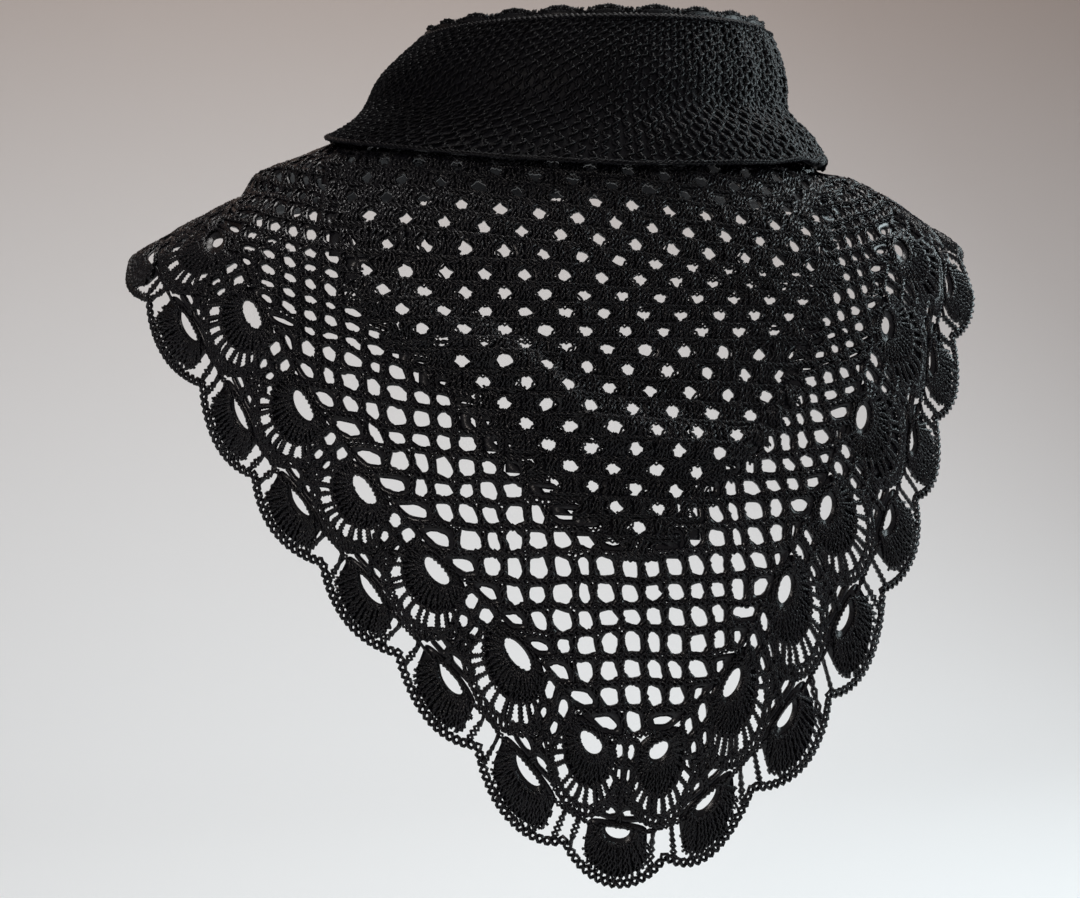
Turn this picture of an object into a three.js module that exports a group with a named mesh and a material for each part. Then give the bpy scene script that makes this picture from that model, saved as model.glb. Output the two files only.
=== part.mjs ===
// Crocheted kerchief collar: a dense standing neck part with a turned-over layer, a centre triangle of
// cluster stitches, a net of square cells round it, and a border of fans and scallops to the point.
// Millimetres. +Z is up, the front faces -Y, +X is to the right of someone who looks at the front.
// The origin is the middle of the neck opening at the level of the neck part's hem.
import * as THREE from "three";

const NECK_HEIGHT = 47.5;
const FALL_THICK = 4;
const STAND_THICK = 2.5;
const PANEL_THICK = 3;
const BORDER_THICK = 3.2;
const GAP = 0.4;
const EDGE_GAP = 0.8;
const CELL_WIDTH = 8.3;
const CELL_MARGIN = 0.16;
const ROW_MARGIN = 0.14;
const LOWER_NET_TOP_ROW = 16;
const LAST_ROW = 23;
const FAN_ROW_WIDTH = 21;
const SCALLOP_WIDTH = 43.5;
const LOOP_WIDTH = 36;
const SCALLOPS_ROUND_NECK = 23;
const FOLD_HEIGHT = 5;
const FOLD_HALF_WIDTH = 8;
const BACK_TOP = 4;

// The level curves of the cloth as it lies: half width on the left and the right, depth to the front
// and to the back. On the right the cloth dips beside the neck part.
const LEVELS = [
  { z: 30, left: 80, right: 80, front: 66, back: 64 },
  { z: 10, left: 92, right: 88, front: 74, back: 70 },
  { z: 2, left: 101, right: 92.5, front: 80, back: 74 },
  { z: -3, left: 113, right: 96, front: 84, back: 79 },
  { z: -10, left: 131, right: 107, front: 89, back: 84 },
  { z: -12, left: 133.6, right: 120, front: 90.2, back: 85.2 },
  { z: -20, left: 138, right: 138, front: 95, back: 90 },
  { z: -32, left: 161.5, right: 159, front: 101, back: 95 },
  { z: -45, left: 183, right: 180, front: 106, back: 99 },
  { z: -60, left: 190, right: 189, front: 110, back: 102 },
  { z: -100, left: 189, right: 188, front: 119, back: 106 },
  { z: -150, left: 176, right: 176, front: 129, back: 108 },
  { z: -220, left: 160, right: 160, front: 136, back: 106 },
  { z: -300, left: 150, right: 150, front: 132, back: 98 },
];

// The rows of the work: the level of each in the middle, and how far it rises towards the shoulders.
const ROWS = [
  { row: 0, z: -8, rise: 0.14 },
  { row: 3, z: -50, rise: 0.22 },
  { row: 6, z: -86.8, rise: 0.38 },
  { row: 8, z: -96.3, rise: 0.31 },
  { row: 10, z: -106.9, rise: 0.21 },
  { row: 14, z: -135.5, rise: 0.05 },
  { row: 24, z: -228, rise: 0.0 },
];

// The two sides of the cluster-stitch triangle, as arc lengths from the middle.
const CENTRE_SIDES = [
  { z: 0, left: -117, right: 90 },
  { z: -21, left: -113, right: 86 },
  { z: -48, left: -105, right: 78 },
  { z: -66, left: -98, right: 72 },
  { z: -78, left: -86, right: 66 },
  { z: -99, left: -64, right: 53 },
  { z: -127, left: -40, right: 25 },
  { z: -149, left: -14, right: 5 },
  { z: -153, left: -7, right: 1 },
  { z: -170, left: -7, right: 1 },
];

// The border: the middle of each fan's hole and, further out, the line through the scallops' holes.
const BORDER = [
  { fan: 0, s: -186, z: -20, outS: -214, outZ: -37 },
  { fan: 1, s: -161, z: -42, outS: -191, outZ: -57 },
  { fan: 2, s: -144, z: -68.5, outS: -166.5, outZ: -86.5 },
  { fan: 3, s: -125.5, z: -102, outS: -147, outZ: -120 },
  { fan: 4, s: -104, z: -132, outS: -122.5, outZ: -151 },
  { fan: 5, s: -78.5, z: -160.5, outS: -94.5, outZ: -182 },
  { fan: 6, s: -50, z: -190, outS: -64.5, outZ: -215.5 },
  { fan: 7, s: -24, z: -222, outS: -32, outZ: -252 },
  { fan: 8, s: 1, z: -226, outS: 3.5, outZ: -259 },
  { fan: 9, s: 29.5, z: -203, outS: 37, outZ: -236 },
  { fan: 10, s: 53, z: -170.5, outS: 70, outZ: -205 },
  { fan: 11, s: 73, z: -141.5, outS: 97, outZ: -169 },
  { fan: 12, s: 91, z: -108, outS: 117, outZ: -131 },
  { fan: 13, s: 106, z: -73, outS: 132.5, outZ: -94 },
  { fan: 14, s: 119, z: -43, outS: 146, outZ: -61 },
  { fan: 15, s: 141, z: -23, outS: 161, outZ: -37 },
  { fan: 16, s: 166, z: -14, outS: 192, outZ: -28 },
];

// The crease of the soft fold that hangs across the chest.
const FOLD = [
  { s: -110, z: -54, height: 0 },
  { s: -95, z: -63, height: 0.6 },
  { s: -80, z: -70, height: 0.9 },
  { s: -45, z: -86, height: 1 },
  { s: -17, z: -108, height: 1 },
  { s: 5, z: -114, height: 1 },
  { s: 28, z: -117, height: 0.9 },
  { s: 44, z: -113, height: 0.7 },
  { s: 62, z: -98, height: 0.4 },
  { s: 80, z: -80, height: 0 },
];

// The turned-over layer, ring by ring from its hem to its top. The stand is the layer inside it.
const HEM = { left: 3, right: -9.8, low: -15, rear: 0, frontLift: 6.2, leftLift: 4.6, rightLift: 6, bow: 2, early: 1.5 };
const FALL_RINGS = [
  { shift: 0.5, lean: -2, width: 89.6, front: 83.4, back: 72, side: 17, low: 12, rear: 20 },
  { shift: 3, lean: -4, width: 86, front: 77, back: 66, side: 29, low: 26, rear: 31 },
  { shift: 5.5, lean: -6, width: 80.5, front: 70, back: 60, side: 38.5, low: 38, rear: 41, roll: 1 },
  { shift: 8, lean: -8, width: 74, front: 64, back: 55, side: NECK_HEIGHT, low: 47, rear: 48, roll: 2 },
];
const STAND_RINGS = [
  { shift: -3.6, lean: 0, width: 92.4, front: 82.4, back: 72.3, side: 1, low: -8, rear: 0 },
  { shift: 0.5, lean: -1, width: 84.6, front: 75.4, back: 64.6, side: 14, low: 10, rear: 14 },
  { shift: 3.5, lean: -4, width: 77, front: 68.5, back: 57.5, side: 29.5, low: 28, rear: 29.5 },
  { shift: 7, lean: -8, width: 68.2, front: 59.2, back: 50.2, side: 46.5, low: 46, rear: 47, roll: 2 },
];

// The value of one column of a table at x, by straight lines between its rows.
function column(table, by, name, x) {
  const rising = table[table.length - 1][by] > table[0][by];
  for (let i = 1; i < table.length; i++) {
    const a = table[i - 1];
    const b = table[i];
    const inside = rising ? x <= b[by] : x >= b[by];
    if (inside || i === table.length - 1) {
      const f = Math.min(Math.max((x - a[by]) / (b[by] - a[by]), 0), 1);
      return a[name] + (b[name] - a[name]) * f;
    }
  }
  return 0;
}

// The same as a smooth curve through the rows.
function smoothColumn(table, name, q) {
  const last = table.length - 1;
  const i = Math.min(Math.max(Math.floor(q), 0), last - 1);
  const f = q - i;
  const v = (k) => table[Math.min(Math.max(k, 0), last)][name];
  const a = 2 * v(i);
  const b = v(i + 1) - v(i - 1);
  const c = 2 * v(i - 1) - 5 * v(i) + 4 * v(i + 1) - v(i + 2);
  const d = 3 * v(i) - v(i - 1) - 3 * v(i + 1) + v(i + 2);
  return 0.5 * (a + b * f + c * f * f + d * f * f * f);
}

// Half width at a level, on the left for a negative side and on the right otherwise.
function halfWidth(z, side) {
  return column(LEVELS, "z", side < 0 ? "left" : "right", z);
}

// Arc length from the middle of the front to the shoulder ridge at a level, on one side.
function ridge(z, side) {
  const a = halfWidth(z, side);
  const f = column(LEVELS, "z", "front", z);
  return ((a + f) * Math.PI) / 4;
}

// A point of the bare surface at arc length s from the middle of the front and level z.
function barePoint(s, z) {
  const a = halfWidth(z, s);
  const f = column(LEVELS, "z", "front", z);
  const m = (a + f) / 2;
  const k = (a - f) / 4;
  let t = s / a;
  for (let i = 0; i < 6; i++) {
    t -= (m * t + k * Math.sin(2 * t) - s) / (m + 2 * k * Math.cos(2 * t));
  }
  return new THREE.Vector3(a * Math.sin(t), -f * Math.cos(t), z);
}

// The same surface all the way round, by the angle from the front, and lifted off it.
function roundPoint(angle, z, lift) {
  const at = (t, level) => {
    const a = halfWidth(level, Math.sin(t));
    const b = column(LEVELS, "z", Math.cos(t) > 0 ? "front" : "back", level);
    return new THREE.Vector3(a * Math.sin(t), -b * Math.cos(t), level);
  };
  const across = at(angle + 0.01, z).sub(at(angle - 0.01, z));
  const up = at(angle, z + 1.5).sub(at(angle, z - 1.5));
  const normal = across.cross(up).normalize();
  return at(angle, z).addScaledVector(normal, lift);
}

// How far the soft fold lifts the cloth off the surface.
function foldLift(s, z) {
  const across = (z - column(FOLD, "s", "z", s)) / FOLD_HALF_WIDTH;
  const below = (across + 1.9) / 0.9;
  const height = FOLD_HEIGHT * column(FOLD, "s", "height", s);
  return height * (Math.exp(-across * across) - 0.45 * Math.exp(-below * below));
}

// The two faces of a wall at (s, z): the outer one first.
function clothPair(s, z, thick) {
  const d = 1.5;
  const across = barePoint(s + d, z).sub(barePoint(s - d, z));
  const up = barePoint(s, z + d).sub(barePoint(s, z - d));
  const normal = across.cross(up).normalize();
  const middle = barePoint(s, z).addScaledVector(normal, foldLift(s, z));
  return [
    middle.clone().addScaledVector(normal, thick / 2),
    middle.clone().addScaledVector(normal, -thick / 2),
  ];
}

// A closed wall from pairs of points and the triangles of its outer face. Open edges get side walls.
function wall(name, pairs, faces) {
  const n = pairs.length;
  const index = [];
  const edges = new Set();
  for (const [a, b, c] of faces) {
    index.push(a, b, c, c + n, b + n, a + n);
    edges.add(`${a},${b}`);
    edges.add(`${b},${c}`);
    edges.add(`${c},${a}`);
  }
  for (const edge of edges) {
    const [a, b] = edge.split(",").map(Number);
    if (!edges.has(`${b},${a}`)) {
      index.push(b, a, a + n, b, a + n, b + n);
    }
  }
  const points = [...pairs.map((p) => p[0]), ...pairs.map((p) => p[1])];
  const used = [...new Set(index)];
  const place = new Map(used.map((old, i) => [old, i]));
  const geometry = new THREE.BufferGeometry();
  const xyz = used.flatMap((i) => points[i].toArray());
  geometry.setAttribute("position", new THREE.Float32BufferAttribute(xyz, 3));
  geometry.setIndex(index.map((i) => place.get(i)));
  geometry.computeVertexNormals();
  const material = new THREE.MeshStandardMaterial({ color: 0x15131a, roughness: 0.85, metalness: 0 });
  const mesh = new THREE.Mesh(geometry, material);
  mesh.name = name;
  return mesh;
}

// A wall worked in lines from the top down. Each line is a list of { key, s, z } from left to right.
// Neighbouring lines are joined by their like keys, and isHole leaves a cell out.
function sheet(name, lines, thick, isHole) {
  const pairs = [];
  const faces = [];
  const placed = lines.map((line) =>
    line.map((node) => {
      pairs.push(clothPair(node.s, node.z, thick));
      return { key: node.key, s: node.s, id: pairs.length - 1 };
    })
  );
  for (let i = 1; i < placed.length; i++) {
    const up = placed[i - 1];
    const low = placed[i];
    let a = 0;
    let b = 0;
    while (a < up.length - 1 || b < low.length - 1) {
      const nextUp = up[a + 1];
      const nextLow = low[b + 1];
      const square = nextUp && nextLow && up[a].key === low[b].key && nextUp.key === nextLow.key;
      const lowIsInner = nextLow && nextLow.key !== "R";
      if (square) {
        if (!isHole(i, up[a].key, nextUp.key)) {
          faces.push([up[a].id, low[b].id, nextLow.id], [up[a].id, nextLow.id, nextUp.id]);
        }
        a += 1;
        b += 1;
      } else if (!nextUp || (lowIsInner && (nextUp.key === "R" || nextLow.s < nextUp.s))) {
        faces.push([up[a].id, low[b].id, nextLow.id]);
        b += 1;
      } else {
        faces.push([up[a].id, low[b].id, nextUp.id]);
        a += 1;
      }
    }
  }
  return wall(name, pairs, faces);
}

// A point of the border: q counts fans from the left shoulder, w goes outwards from the net's edge.
function borderPoint(q, w) {
  const f = (w - 6) / 26;
  const inS = smoothColumn(BORDER, "s", q);
  const inZ = smoothColumn(BORDER, "z", q);
  const z = inZ + (smoothColumn(BORDER, "outZ", q) - inZ) * f;
  let s = inS + (smoothColumn(BORDER, "outS", q) - inS) * f;
  const limit = ridge(z, s) - GAP;
  if (q <= 0 || q >= BORDER.length - 1) {
    s = Math.sign(s) * limit;
  }
  return { s: Math.max(-limit, Math.min(limit, s)), z };
}

// The net's slanting edges as tables of s by level, one for each side of the point.
const TIP = 7.5;
const leftEdge = [];
const rightEdge = [];
for (let i = 0; i <= 90; i++) {
  const q = (i * TIP) / 90;
  const left = borderPoint(q, -EDGE_GAP);
  const right = borderPoint(BORDER.length - 1 - (i * (BORDER.length - 1 - TIP)) / 90, -EDGE_GAP);
  leftEdge.push({ z: left.z, s: left.s });
  rightEdge.push({ z: right.z, s: right.s });
}

function rowLevel(row, s) {
  const away = Math.abs(s) - 60;
  const reach = (away + Math.hypot(away, 30)) / 2;
  const z = column(ROWS, "row", "z", row) + column(ROWS, "row", "rise", row) * reach;
  return z;
}

// Where a row meets a line given as s by level, found by halving.
function meet(row, limitAt, side) {
  let near = 0;
  let far = 260;
  for (let i = 0; i < 40; i++) {
    const mid = (near + far) / 2;
    const s = side * mid;
    if (mid < side * limitAt(rowLevel(row, s))) {
      near = mid;
    } else {
      far = mid;
    }
  }
  return side * near;
}

function outerLimit(side) {
  const table = side < 0 ? leftEdge : rightEdge;
  return (z) => {
    const edge = z > table[0].z ? side * 260 : column(table, "z", "s", z);
    return side * Math.min(side * edge, ridge(z, side) - GAP);
  };
}

// The nodes of one row between two ends, at the given column positions.
function rowNodes(row, from, to, columns) {
  const nodes = [{ key: "L", s: from, z: rowLevel(row, from) }];
  for (const c of columns) {
    const s = c * CELL_WIDTH;
    if (s > from + 2.2 && s < to - 2.2) {
      nodes.push({ key: c.toFixed(2), s, z: rowLevel(row, s) });
    }
  }
  nodes.push({ key: "R", s: to, z: rowLevel(row, to) });
  return nodes;
}

const plainColumns = [];
const cellColumns = [];
for (let c = -28; c <= 28; c++) {
  plainColumns.push(c);
  cellColumns.push(c - 0.5 + CELL_MARGIN, c + 0.5 - CELL_MARGIN);
}
const noHole = () => false;

// Upper net beside the centre triangle, and the triangle itself, share the same rows.
const leftLines = [];
const centreLines = [];
const rightLines = [];
const upperRows = [0, 0.5, 1, 1.5, 2, 2.5, 3];
for (let row = 4; row < LOWER_NET_TOP_ROW; row++) {
  upperRows.push(row);
}
upperRows.push(LOWER_NET_TOP_ROW - 0.06);
for (const row of upperRows) {
  const sideLeft = (z) => column(CENTRE_SIDES, "z", "left", z);
  const sideRight = (z) => column(CENTRE_SIDES, "z", "right", z);
  const nearLeft = meet(row, sideLeft, -1);
  const level = rowLevel(row, 0);
  const nearRight = sideRight(level) > 0 ? meet(row, sideRight, 1) : sideRight(level);
  leftLines.push(rowNodes(row, meet(row, outerLimit(-1), -1), nearLeft - GAP, plainColumns));
  rightLines.push(rowNodes(row, nearRight + GAP, meet(row, outerLimit(1), 1), plainColumns));
  centreLines.push(rowNodes(row, nearLeft + GAP, nearRight - GAP, plainColumns.filter((c) => c % 2 === 0)));
}

// Lower net, with its square cells cut through.
const lowerLines = [];
const lowerRows = [];
for (let row = LOWER_NET_TOP_ROW; row < LAST_ROW; row++) {
  lowerRows.push(row + (row === LOWER_NET_TOP_ROW ? 0 : ROW_MARGIN), row + 1 - ROW_MARGIN);
  if (row === LOWER_NET_TOP_ROW) {
    lowerRows.splice(1, 0, row + ROW_MARGIN);
  }
}
lowerRows.push(LAST_ROW);
for (const row of lowerRows) {
  lowerLines.push(rowNodes(row, meet(row, outerLimit(-1), -1), meet(row, outerLimit(1), 1), cellColumns));
}
const cellHole = (line, leftKey, rightKey) => {
  const wide = Number(rightKey) - Number(leftKey) > 0.5;
  return line % 2 === 0 && wide;
};

// How far along the border the scallops hang away from the fans they are worked on.
const DRIFT = [
  { q: 0, drift: 0 },
  { q: 1.5, drift: 0.15 },
  { q: 5.5, drift: 0.14 },
  { q: 6.5, drift: 0 },
  { q: 11.5, drift: 0 },
  { q: 12.5, drift: -0.24 },
  { q: 13.5, drift: -0.4 },
  { q: 14.5, drift: -0.42 },
  { q: 16, drift: 0 },
];

// The border as a grid of lines that follow the net's edge, wOf(q) giving how far out each lies.
function strip(name, qList, wLists, isHole) {
  const pairs = [];
  const faces = [];
  const rows = wLists.length;
  for (const wOf of wLists) {
    for (const q of qList) {
      const away = Math.min(Math.max((wOf(q) - FAN_ROW_WIDTH - 1.5) / 6, 0), 1);
      const { s, z } = borderPoint(q + column(DRIFT, "q", "drift", q) * away, wOf(q));
      pairs.push(clothPair(s, z, BORDER_THICK));
    }
  }
  const across = qList.length;
  for (let j = 1; j < rows; j++) {
    for (let i = 1; i < across; i++) {
      if (isHole(qList[i - 1], qList[i], j)) {
        continue;
      }
      const a = (j - 1) * across + i - 1;
      const b = j * across + i - 1;
      faces.push([a, b, b + 1], [a, b + 1, a + 1]);
    }
  }
  return wall(name, pairs, faces);
}

const LAST_FAN = BORDER.length - 1;
const fanQ = [];
const scallopQ = [];
for (let k = 0; k < LAST_FAN; k++) {
  fanQ.push(k, k + 0.17, k + 0.38, k + 0.62, k + 0.83);
  scallopQ.push(k, k + 0.06, k + 0.2, k + 0.3, k + 0.4, k + 0.6, k + 0.7, k + 0.8, k + 0.94);
}
fanQ.push(LAST_FAN);
scallopQ.push(LAST_FAN);
const bulge = (q) => Math.pow(Math.abs(Math.sin(Math.PI * q)), 0.8);
const outerEdge = (q) => LOOP_WIDTH + (SCALLOP_WIDTH - LOOP_WIDTH) * bulge(q);
const isFanHole = (q0, q1, j) => {
  const middle = Math.round((q0 + q1) / 2);
  const near = Math.max(Math.abs(q0 - middle), Math.abs(q1 - middle)) < 0.18;
  return j === 2 && near && middle > 0 && middle < LAST_FAN - 1;
};
const isScallopHole = (q0, q1, j) => {
  const q = (q0 + q1) / 2;
  const part = q - Math.floor(q);
  const crescent = j === 2 && q1 - q0 > 0.19 && part > 0.4 && part < 0.6 && q > 1 && q < LAST_FAN - 1;
  const besideFan = Math.abs(Math.abs(part - 0.5) - 0.37) < 0.02;
  const loop = j === 3 && besideFan && q > 2.5 && q < 12.5;
  return crescent || loop;
};

// The neck part's rings. Angle 0 is the front and the wall hangs inwards from the given radii.
function ringPoint(ring, angle, inset) {
  const c = Math.cos(angle);
  const depth = (c > 0 ? ring.front : ring.back) - inset;
  const roll = (ring.roll || 0) * Math.sin(angle);
  const height = ring.side + ((c > 0 ? ring.low : ring.rear) - ring.side) * c * c + roll;
  const across = ring.shift + (ring.width - inset) * Math.sin(angle);
  return new THREE.Vector3(across, ring.lean - depth * c, height);
}

// Soft upright ripples where the turned-over layer is gathered, strongest on the right side.
function ripple(angle, share) {
  const side = Math.exp(-Math.pow((angle - 1.1) / 0.5, 2));
  return 1.6 * side * Math.sin(angle * 22) * (1 - share * 0.6);
}

// A ring wall from rings of point pairs, the lowest ring first.
function tube(name, ringPairs) {
  const pairs = ringPairs.flat();
  const faces = [];
  const steps = ringPairs[0].length;
  for (let j = 1; j < ringPairs.length; j++) {
    for (let i = 0; i < steps; i++) {
      const next = (i + 1) % steps;
      const a = (j - 1) * steps;
      const b = j * steps;
      faces.push([b + i, a + i, a + next], [b + i, a + next, b + next]);
    }
  }
  return wall(name, pairs, faces);
}

function angles(steps) {
  return Array.from({ length: steps }, (_, i) => -Math.PI + (2 * Math.PI * i) / steps);
}

function neckStand() {
  const rings = STAND_RINGS.map((ring) =>
    angles(36).map((angle) => [ringPoint(ring, angle, 0), ringPoint(ring, angle, STAND_THICK)])
  );
  return tube("neck_stand", rings);
}

// The turned-over layer lies on the shoulders at its hem and stands up to the top.
function neckFall() {
  const steps = 56;
  const hem = angles(steps).map((angle) => {
    const turn = Math.abs(angle) / (Math.PI / 2);
    const early = angle < 0 ? 1 : HEM.early;
    const rise = Math.pow(Math.min(turn * early, 1), 1.4);
    const sideLevel = angle < 0 ? HEM.left : HEM.right;
    const frontLevel = HEM.low + (sideLevel - HEM.low) * rise;
    const rearLevel = sideLevel + (HEM.rear - sideLevel) * Math.min((turn - 1) * 2.5, 1);
    const level = turn < 1 ? frontLevel : rearLevel;
    const sideLift = angle < 0 ? HEM.leftLift : HEM.rightLift;
    const lift = HEM.frontLift + (sideLift - HEM.frontLift) * Math.sin(angle) * Math.sin(angle);
    const outer = roundPoint(angle, level, lift + ripple(angle, 0));
    const inwards = new THREE.Vector3(-Math.sin(angle), Math.cos(angle), 0);
    return [outer, outer.clone().addScaledVector(inwards, FALL_THICK)];
  });
  const upper = FALL_RINGS.map((ring, j) =>
    angles(steps).map((angle) => {
      const out = j < FALL_RINGS.length - 1 ? ripple(angle, (j + 1) / FALL_RINGS.length) : 0;
      return [ringPoint(ring, angle, -out), ringPoint(ring, angle, FALL_THICK - out)];
    })
  );
  const between = hem.map((pair, i) => {
    const inwards = new THREE.Vector3(-Math.sin(angles(steps)[i]), Math.cos(angles(steps)[i]), 0);
    const bow = -HEM.bow * Math.sin(angles(steps)[i]);
    const point = pair[0].clone().lerp(upper[0][i][0], 0.45).addScaledVector(inwards, bow);
    return [point, point.clone().addScaledVector(inwards, FALL_THICK)];
  });
  return tube("neck_fall", [hem, between, ...upper]);
}

// The small shells along the top, a ring that lies on both layers.
function topEdging() {
  const steps = SCALLOPS_ROUND_NECK * 4;
  const top = FALL_RINGS[FALL_RINGS.length - 1];
  const lift = new THREE.Vector3();
  const pairs = [];
  const faces = [];
  for (const bottom of [true, false]) {
    for (let i = 0; i < steps; i++) {
      const angle = -Math.PI + (2 * Math.PI * i) / steps;
      const shell = Math.abs(Math.sin((SCALLOPS_ROUND_NECK * angle) / 2));
      lift.set(0, 0, bottom ? 0.4 : 1.6 + 3.2 * shell);
      const outer = ringPoint(top, angle, bottom ? 0.2 : 1.6).add(lift);
      const inner = ringPoint(top, angle, bottom ? 7.2 : 5.6).add(lift);
      pairs.push([outer, inner]);
    }
  }
  for (let i = 0; i < steps; i++) {
    const next = (i + 1) % steps;
    faces.push([steps + i, i, next], [steps + i, next, steps + next]);
  }
  return wall("neck_edging", pairs, faces);
}

// The plain way round the back of the neck, from one shoulder ridge to the other.
function backPanel() {
  const pairs = [];
  const faces = [];
  const across = 26;
  const down = 5;
  for (let j = 0; j <= down; j++) {
    for (let i = 0; i <= across; i++) {
      const share = i / across;
      const low = -38 - 9 * share + 31 * Math.pow(Math.sin(Math.PI * share), 0.6);
      const z = BACK_TOP + (low - BACK_TOP) * (j / down);
      const slack = GAP / 100;
      const angle = Math.PI / 2 + slack + share * (Math.PI - 2 * slack);
      pairs.push([roundPoint(angle, z, PANEL_THICK / 2), roundPoint(angle, z, -PANEL_THICK / 2)]);
    }
  }
  for (let j = 1; j <= down; j++) {
    for (let i = 1; i <= across; i++) {
      const a = (j - 1) * (across + 1) + i - 1;
      const b = j * (across + 1) + i - 1;
      faces.push([a, b, b + 1], [a, b + 1, a + 1]);
    }
  }
  return wall("back_panel", pairs, faces);
}

const collar = new THREE.Group();
collar.add(neckStand());
collar.add(neckFall());
collar.add(topEdging());
collar.add(sheet("centre_triangle", centreLines, PANEL_THICK, noHole));
collar.add(sheet("net_left", leftLines, PANEL_THICK, noHole));
collar.add(sheet("net_right", rightLines, PANEL_THICK, noHole));
collar.add(sheet("net_lower", lowerLines, PANEL_THICK, cellHole));
const fanLines = [0.6, 3.2, 9, FAN_ROW_WIDTH - GAP].map((w) => () => w);
collar.add(strip("fan_row", fanQ, fanLines, isFanHole));
const scallopLines = [
  () => FAN_ROW_WIDTH + GAP,
  () => 27,
  (q) => 27 + 7 * bulge(q),
  (q) => outerEdge(q) - 3.2,
  outerEdge,
];
collar.add(strip("scallop_row", scallopQ, scallopLines, isScallopHole));
collar.add(backPanel());

export default collar;
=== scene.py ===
# Crocheted kerchief collar in fine black cotton: a dense neck part with a turned-over layer, a centre
# triangle of cluster stitches, a net of posts and chains round it, and a border of fans and scallops.
# Lengths in the tables are millimetres. The front faces -Y, +Z is up.
import math

import bpy
import numpy as np
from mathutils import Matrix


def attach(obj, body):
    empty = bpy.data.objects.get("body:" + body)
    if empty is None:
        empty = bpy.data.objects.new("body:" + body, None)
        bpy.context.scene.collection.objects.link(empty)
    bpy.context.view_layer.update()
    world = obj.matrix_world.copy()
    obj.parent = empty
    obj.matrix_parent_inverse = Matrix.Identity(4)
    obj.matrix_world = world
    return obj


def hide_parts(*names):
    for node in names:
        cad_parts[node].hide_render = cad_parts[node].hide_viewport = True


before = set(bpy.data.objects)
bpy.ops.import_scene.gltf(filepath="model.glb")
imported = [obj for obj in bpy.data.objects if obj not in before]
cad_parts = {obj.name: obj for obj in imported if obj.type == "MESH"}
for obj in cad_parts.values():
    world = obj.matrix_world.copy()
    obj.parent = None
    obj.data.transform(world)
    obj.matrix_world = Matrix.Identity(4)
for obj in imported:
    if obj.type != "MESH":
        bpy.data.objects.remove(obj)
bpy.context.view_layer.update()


# ---- Centre triangle ---------------------------------------------------------------------------
# Cluster stitch: every row is groups of long stitches, each group worked into a gap of the row above,
# so that diamond holes stand like bricks. Soft two-ply cotton, hung from the neck with one soft fold.

# level, half width left, half width right, depth to the front, depth to the back
LEVELS = np.array([
    (30, 80, 80, 66, 64), (10, 92, 88, 74, 70), (2, 101, 92.5, 80, 74), (-3, 113, 96, 84, 79),
    (-10, 131, 107, 89, 84), (-12, 133.6, 120, 90.2, 85.2), (-20, 138, 138, 95, 90),
    (-32, 161.5, 159, 101, 95), (-45, 183, 180, 106, 99), (-60, 190, 189, 110, 102),
    (-100, 189, 188, 119, 106), (-150, 176, 176, 129, 108), (-220, 160, 160, 136, 106),
    (-300, 150, 150, 132, 98),
])[::-1]
FOLD_HEIGHT, FOLD_WIDTH = 5, 8
# arc length, level and height share of the soft fold's crease
FOLD = np.array([
    (-110, -54, 0), (-95, -63, 0.6), (-80, -70, 0.9), (-45, -86, 1), (-17, -108, 1), (5, -114, 1),
    (28, -117, 0.9), (44, -113, 0.7), (62, -98, 0.4), (80, -80, 0),
])
# level, arc lengths of the triangle's two sides
CENTRE_SIDES = np.array([
    (0, -117, 90), (-21, -113, 86), (-48, -105, 78), (-66, -98, 72), (-78, -86, 66), (-99, -64, 53),
    (-127, -40, 25), (-149, -14, 5), (-153, -7, 1), (-170, -7, 1),
])[::-1]
# cluster row, level at arc length -20, fall of the level per mm to the right, distance between groups
CLUSTER_ROWS = np.array([
    (-4, 8, 0.11, 14.2), (-2, -6, 0.11, 14.2), (0, -18, 0.12, 14.2), (3, -40, 0.11, 14.0),
    (5, -54.5, 0.03, 14.4), (8, -74, 0.0, 14.8), (9, -80, 0.05, 15.0), (13, -109, 0.07, 15.6), (20, -158, 0.05, 15.6),
])
HOLE_POINTS = 16
HOLE_HALF = np.array([3.5, 3.1])
BLACK_DYE = (0.0016, 0.0015, 0.0026)


def level_column(z, column):
    return np.interp(z, LEVELS[:, 0], LEVELS[:, column])


def half_width(z, side):
    return np.where(side < 0, level_column(z, 1), level_column(z, 2))


def bare_point(s, z):
    """The worn cloth without its fold, a half oval at each level: the place at arc length s from the front."""
    s, z = np.broadcast_arrays(np.asarray(s, float), np.asarray(z, float))
    a = half_width(z, s)
    f = level_column(z, 3)
    m, k = (a + f) / 2, (a - f) / 4
    t = s / a
    for _ in range(6):
        t = t - (m * t + k * np.sin(2 * t) - s) / (m + 2 * k * np.cos(2 * t))
    return np.stack([a * np.sin(t), -f * np.cos(t), z], -1)


def unit(v):
    return v / np.maximum(np.linalg.norm(v, axis=-1, keepdims=True), 1e-9)


def fold_lift(s, z):
    across = (z - np.interp(s, FOLD[:, 0], FOLD[:, 1])) / FOLD_WIDTH
    below = (across + 1.9) / 0.9
    return FOLD_HEIGHT * np.interp(s, FOLD[:, 0], FOLD[:, 2]) * (np.exp(-across**2) - 0.45 * np.exp(-below**2))


def cloth(s, z, lift=0.0):
    """The place and the outward direction of the worn cloth at arc length s and level z."""
    s, z = np.broadcast_arrays(np.asarray(s, float), np.asarray(z, float))
    d = 1.5
    across = bare_point(s + d, z) - bare_point(s - d, z)
    up = bare_point(s, z + d) - bare_point(s, z - d)
    normal = unit(np.cross(across, up))
    sway = 0.5 * np.sin(s / 17 + z / 29) + 0.4 * np.sin(s / 11 - z / 19 + 1)
    return bare_point(s, z) + normal * (fold_lift(s, z) + sway + lift)[..., None], normal


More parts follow.
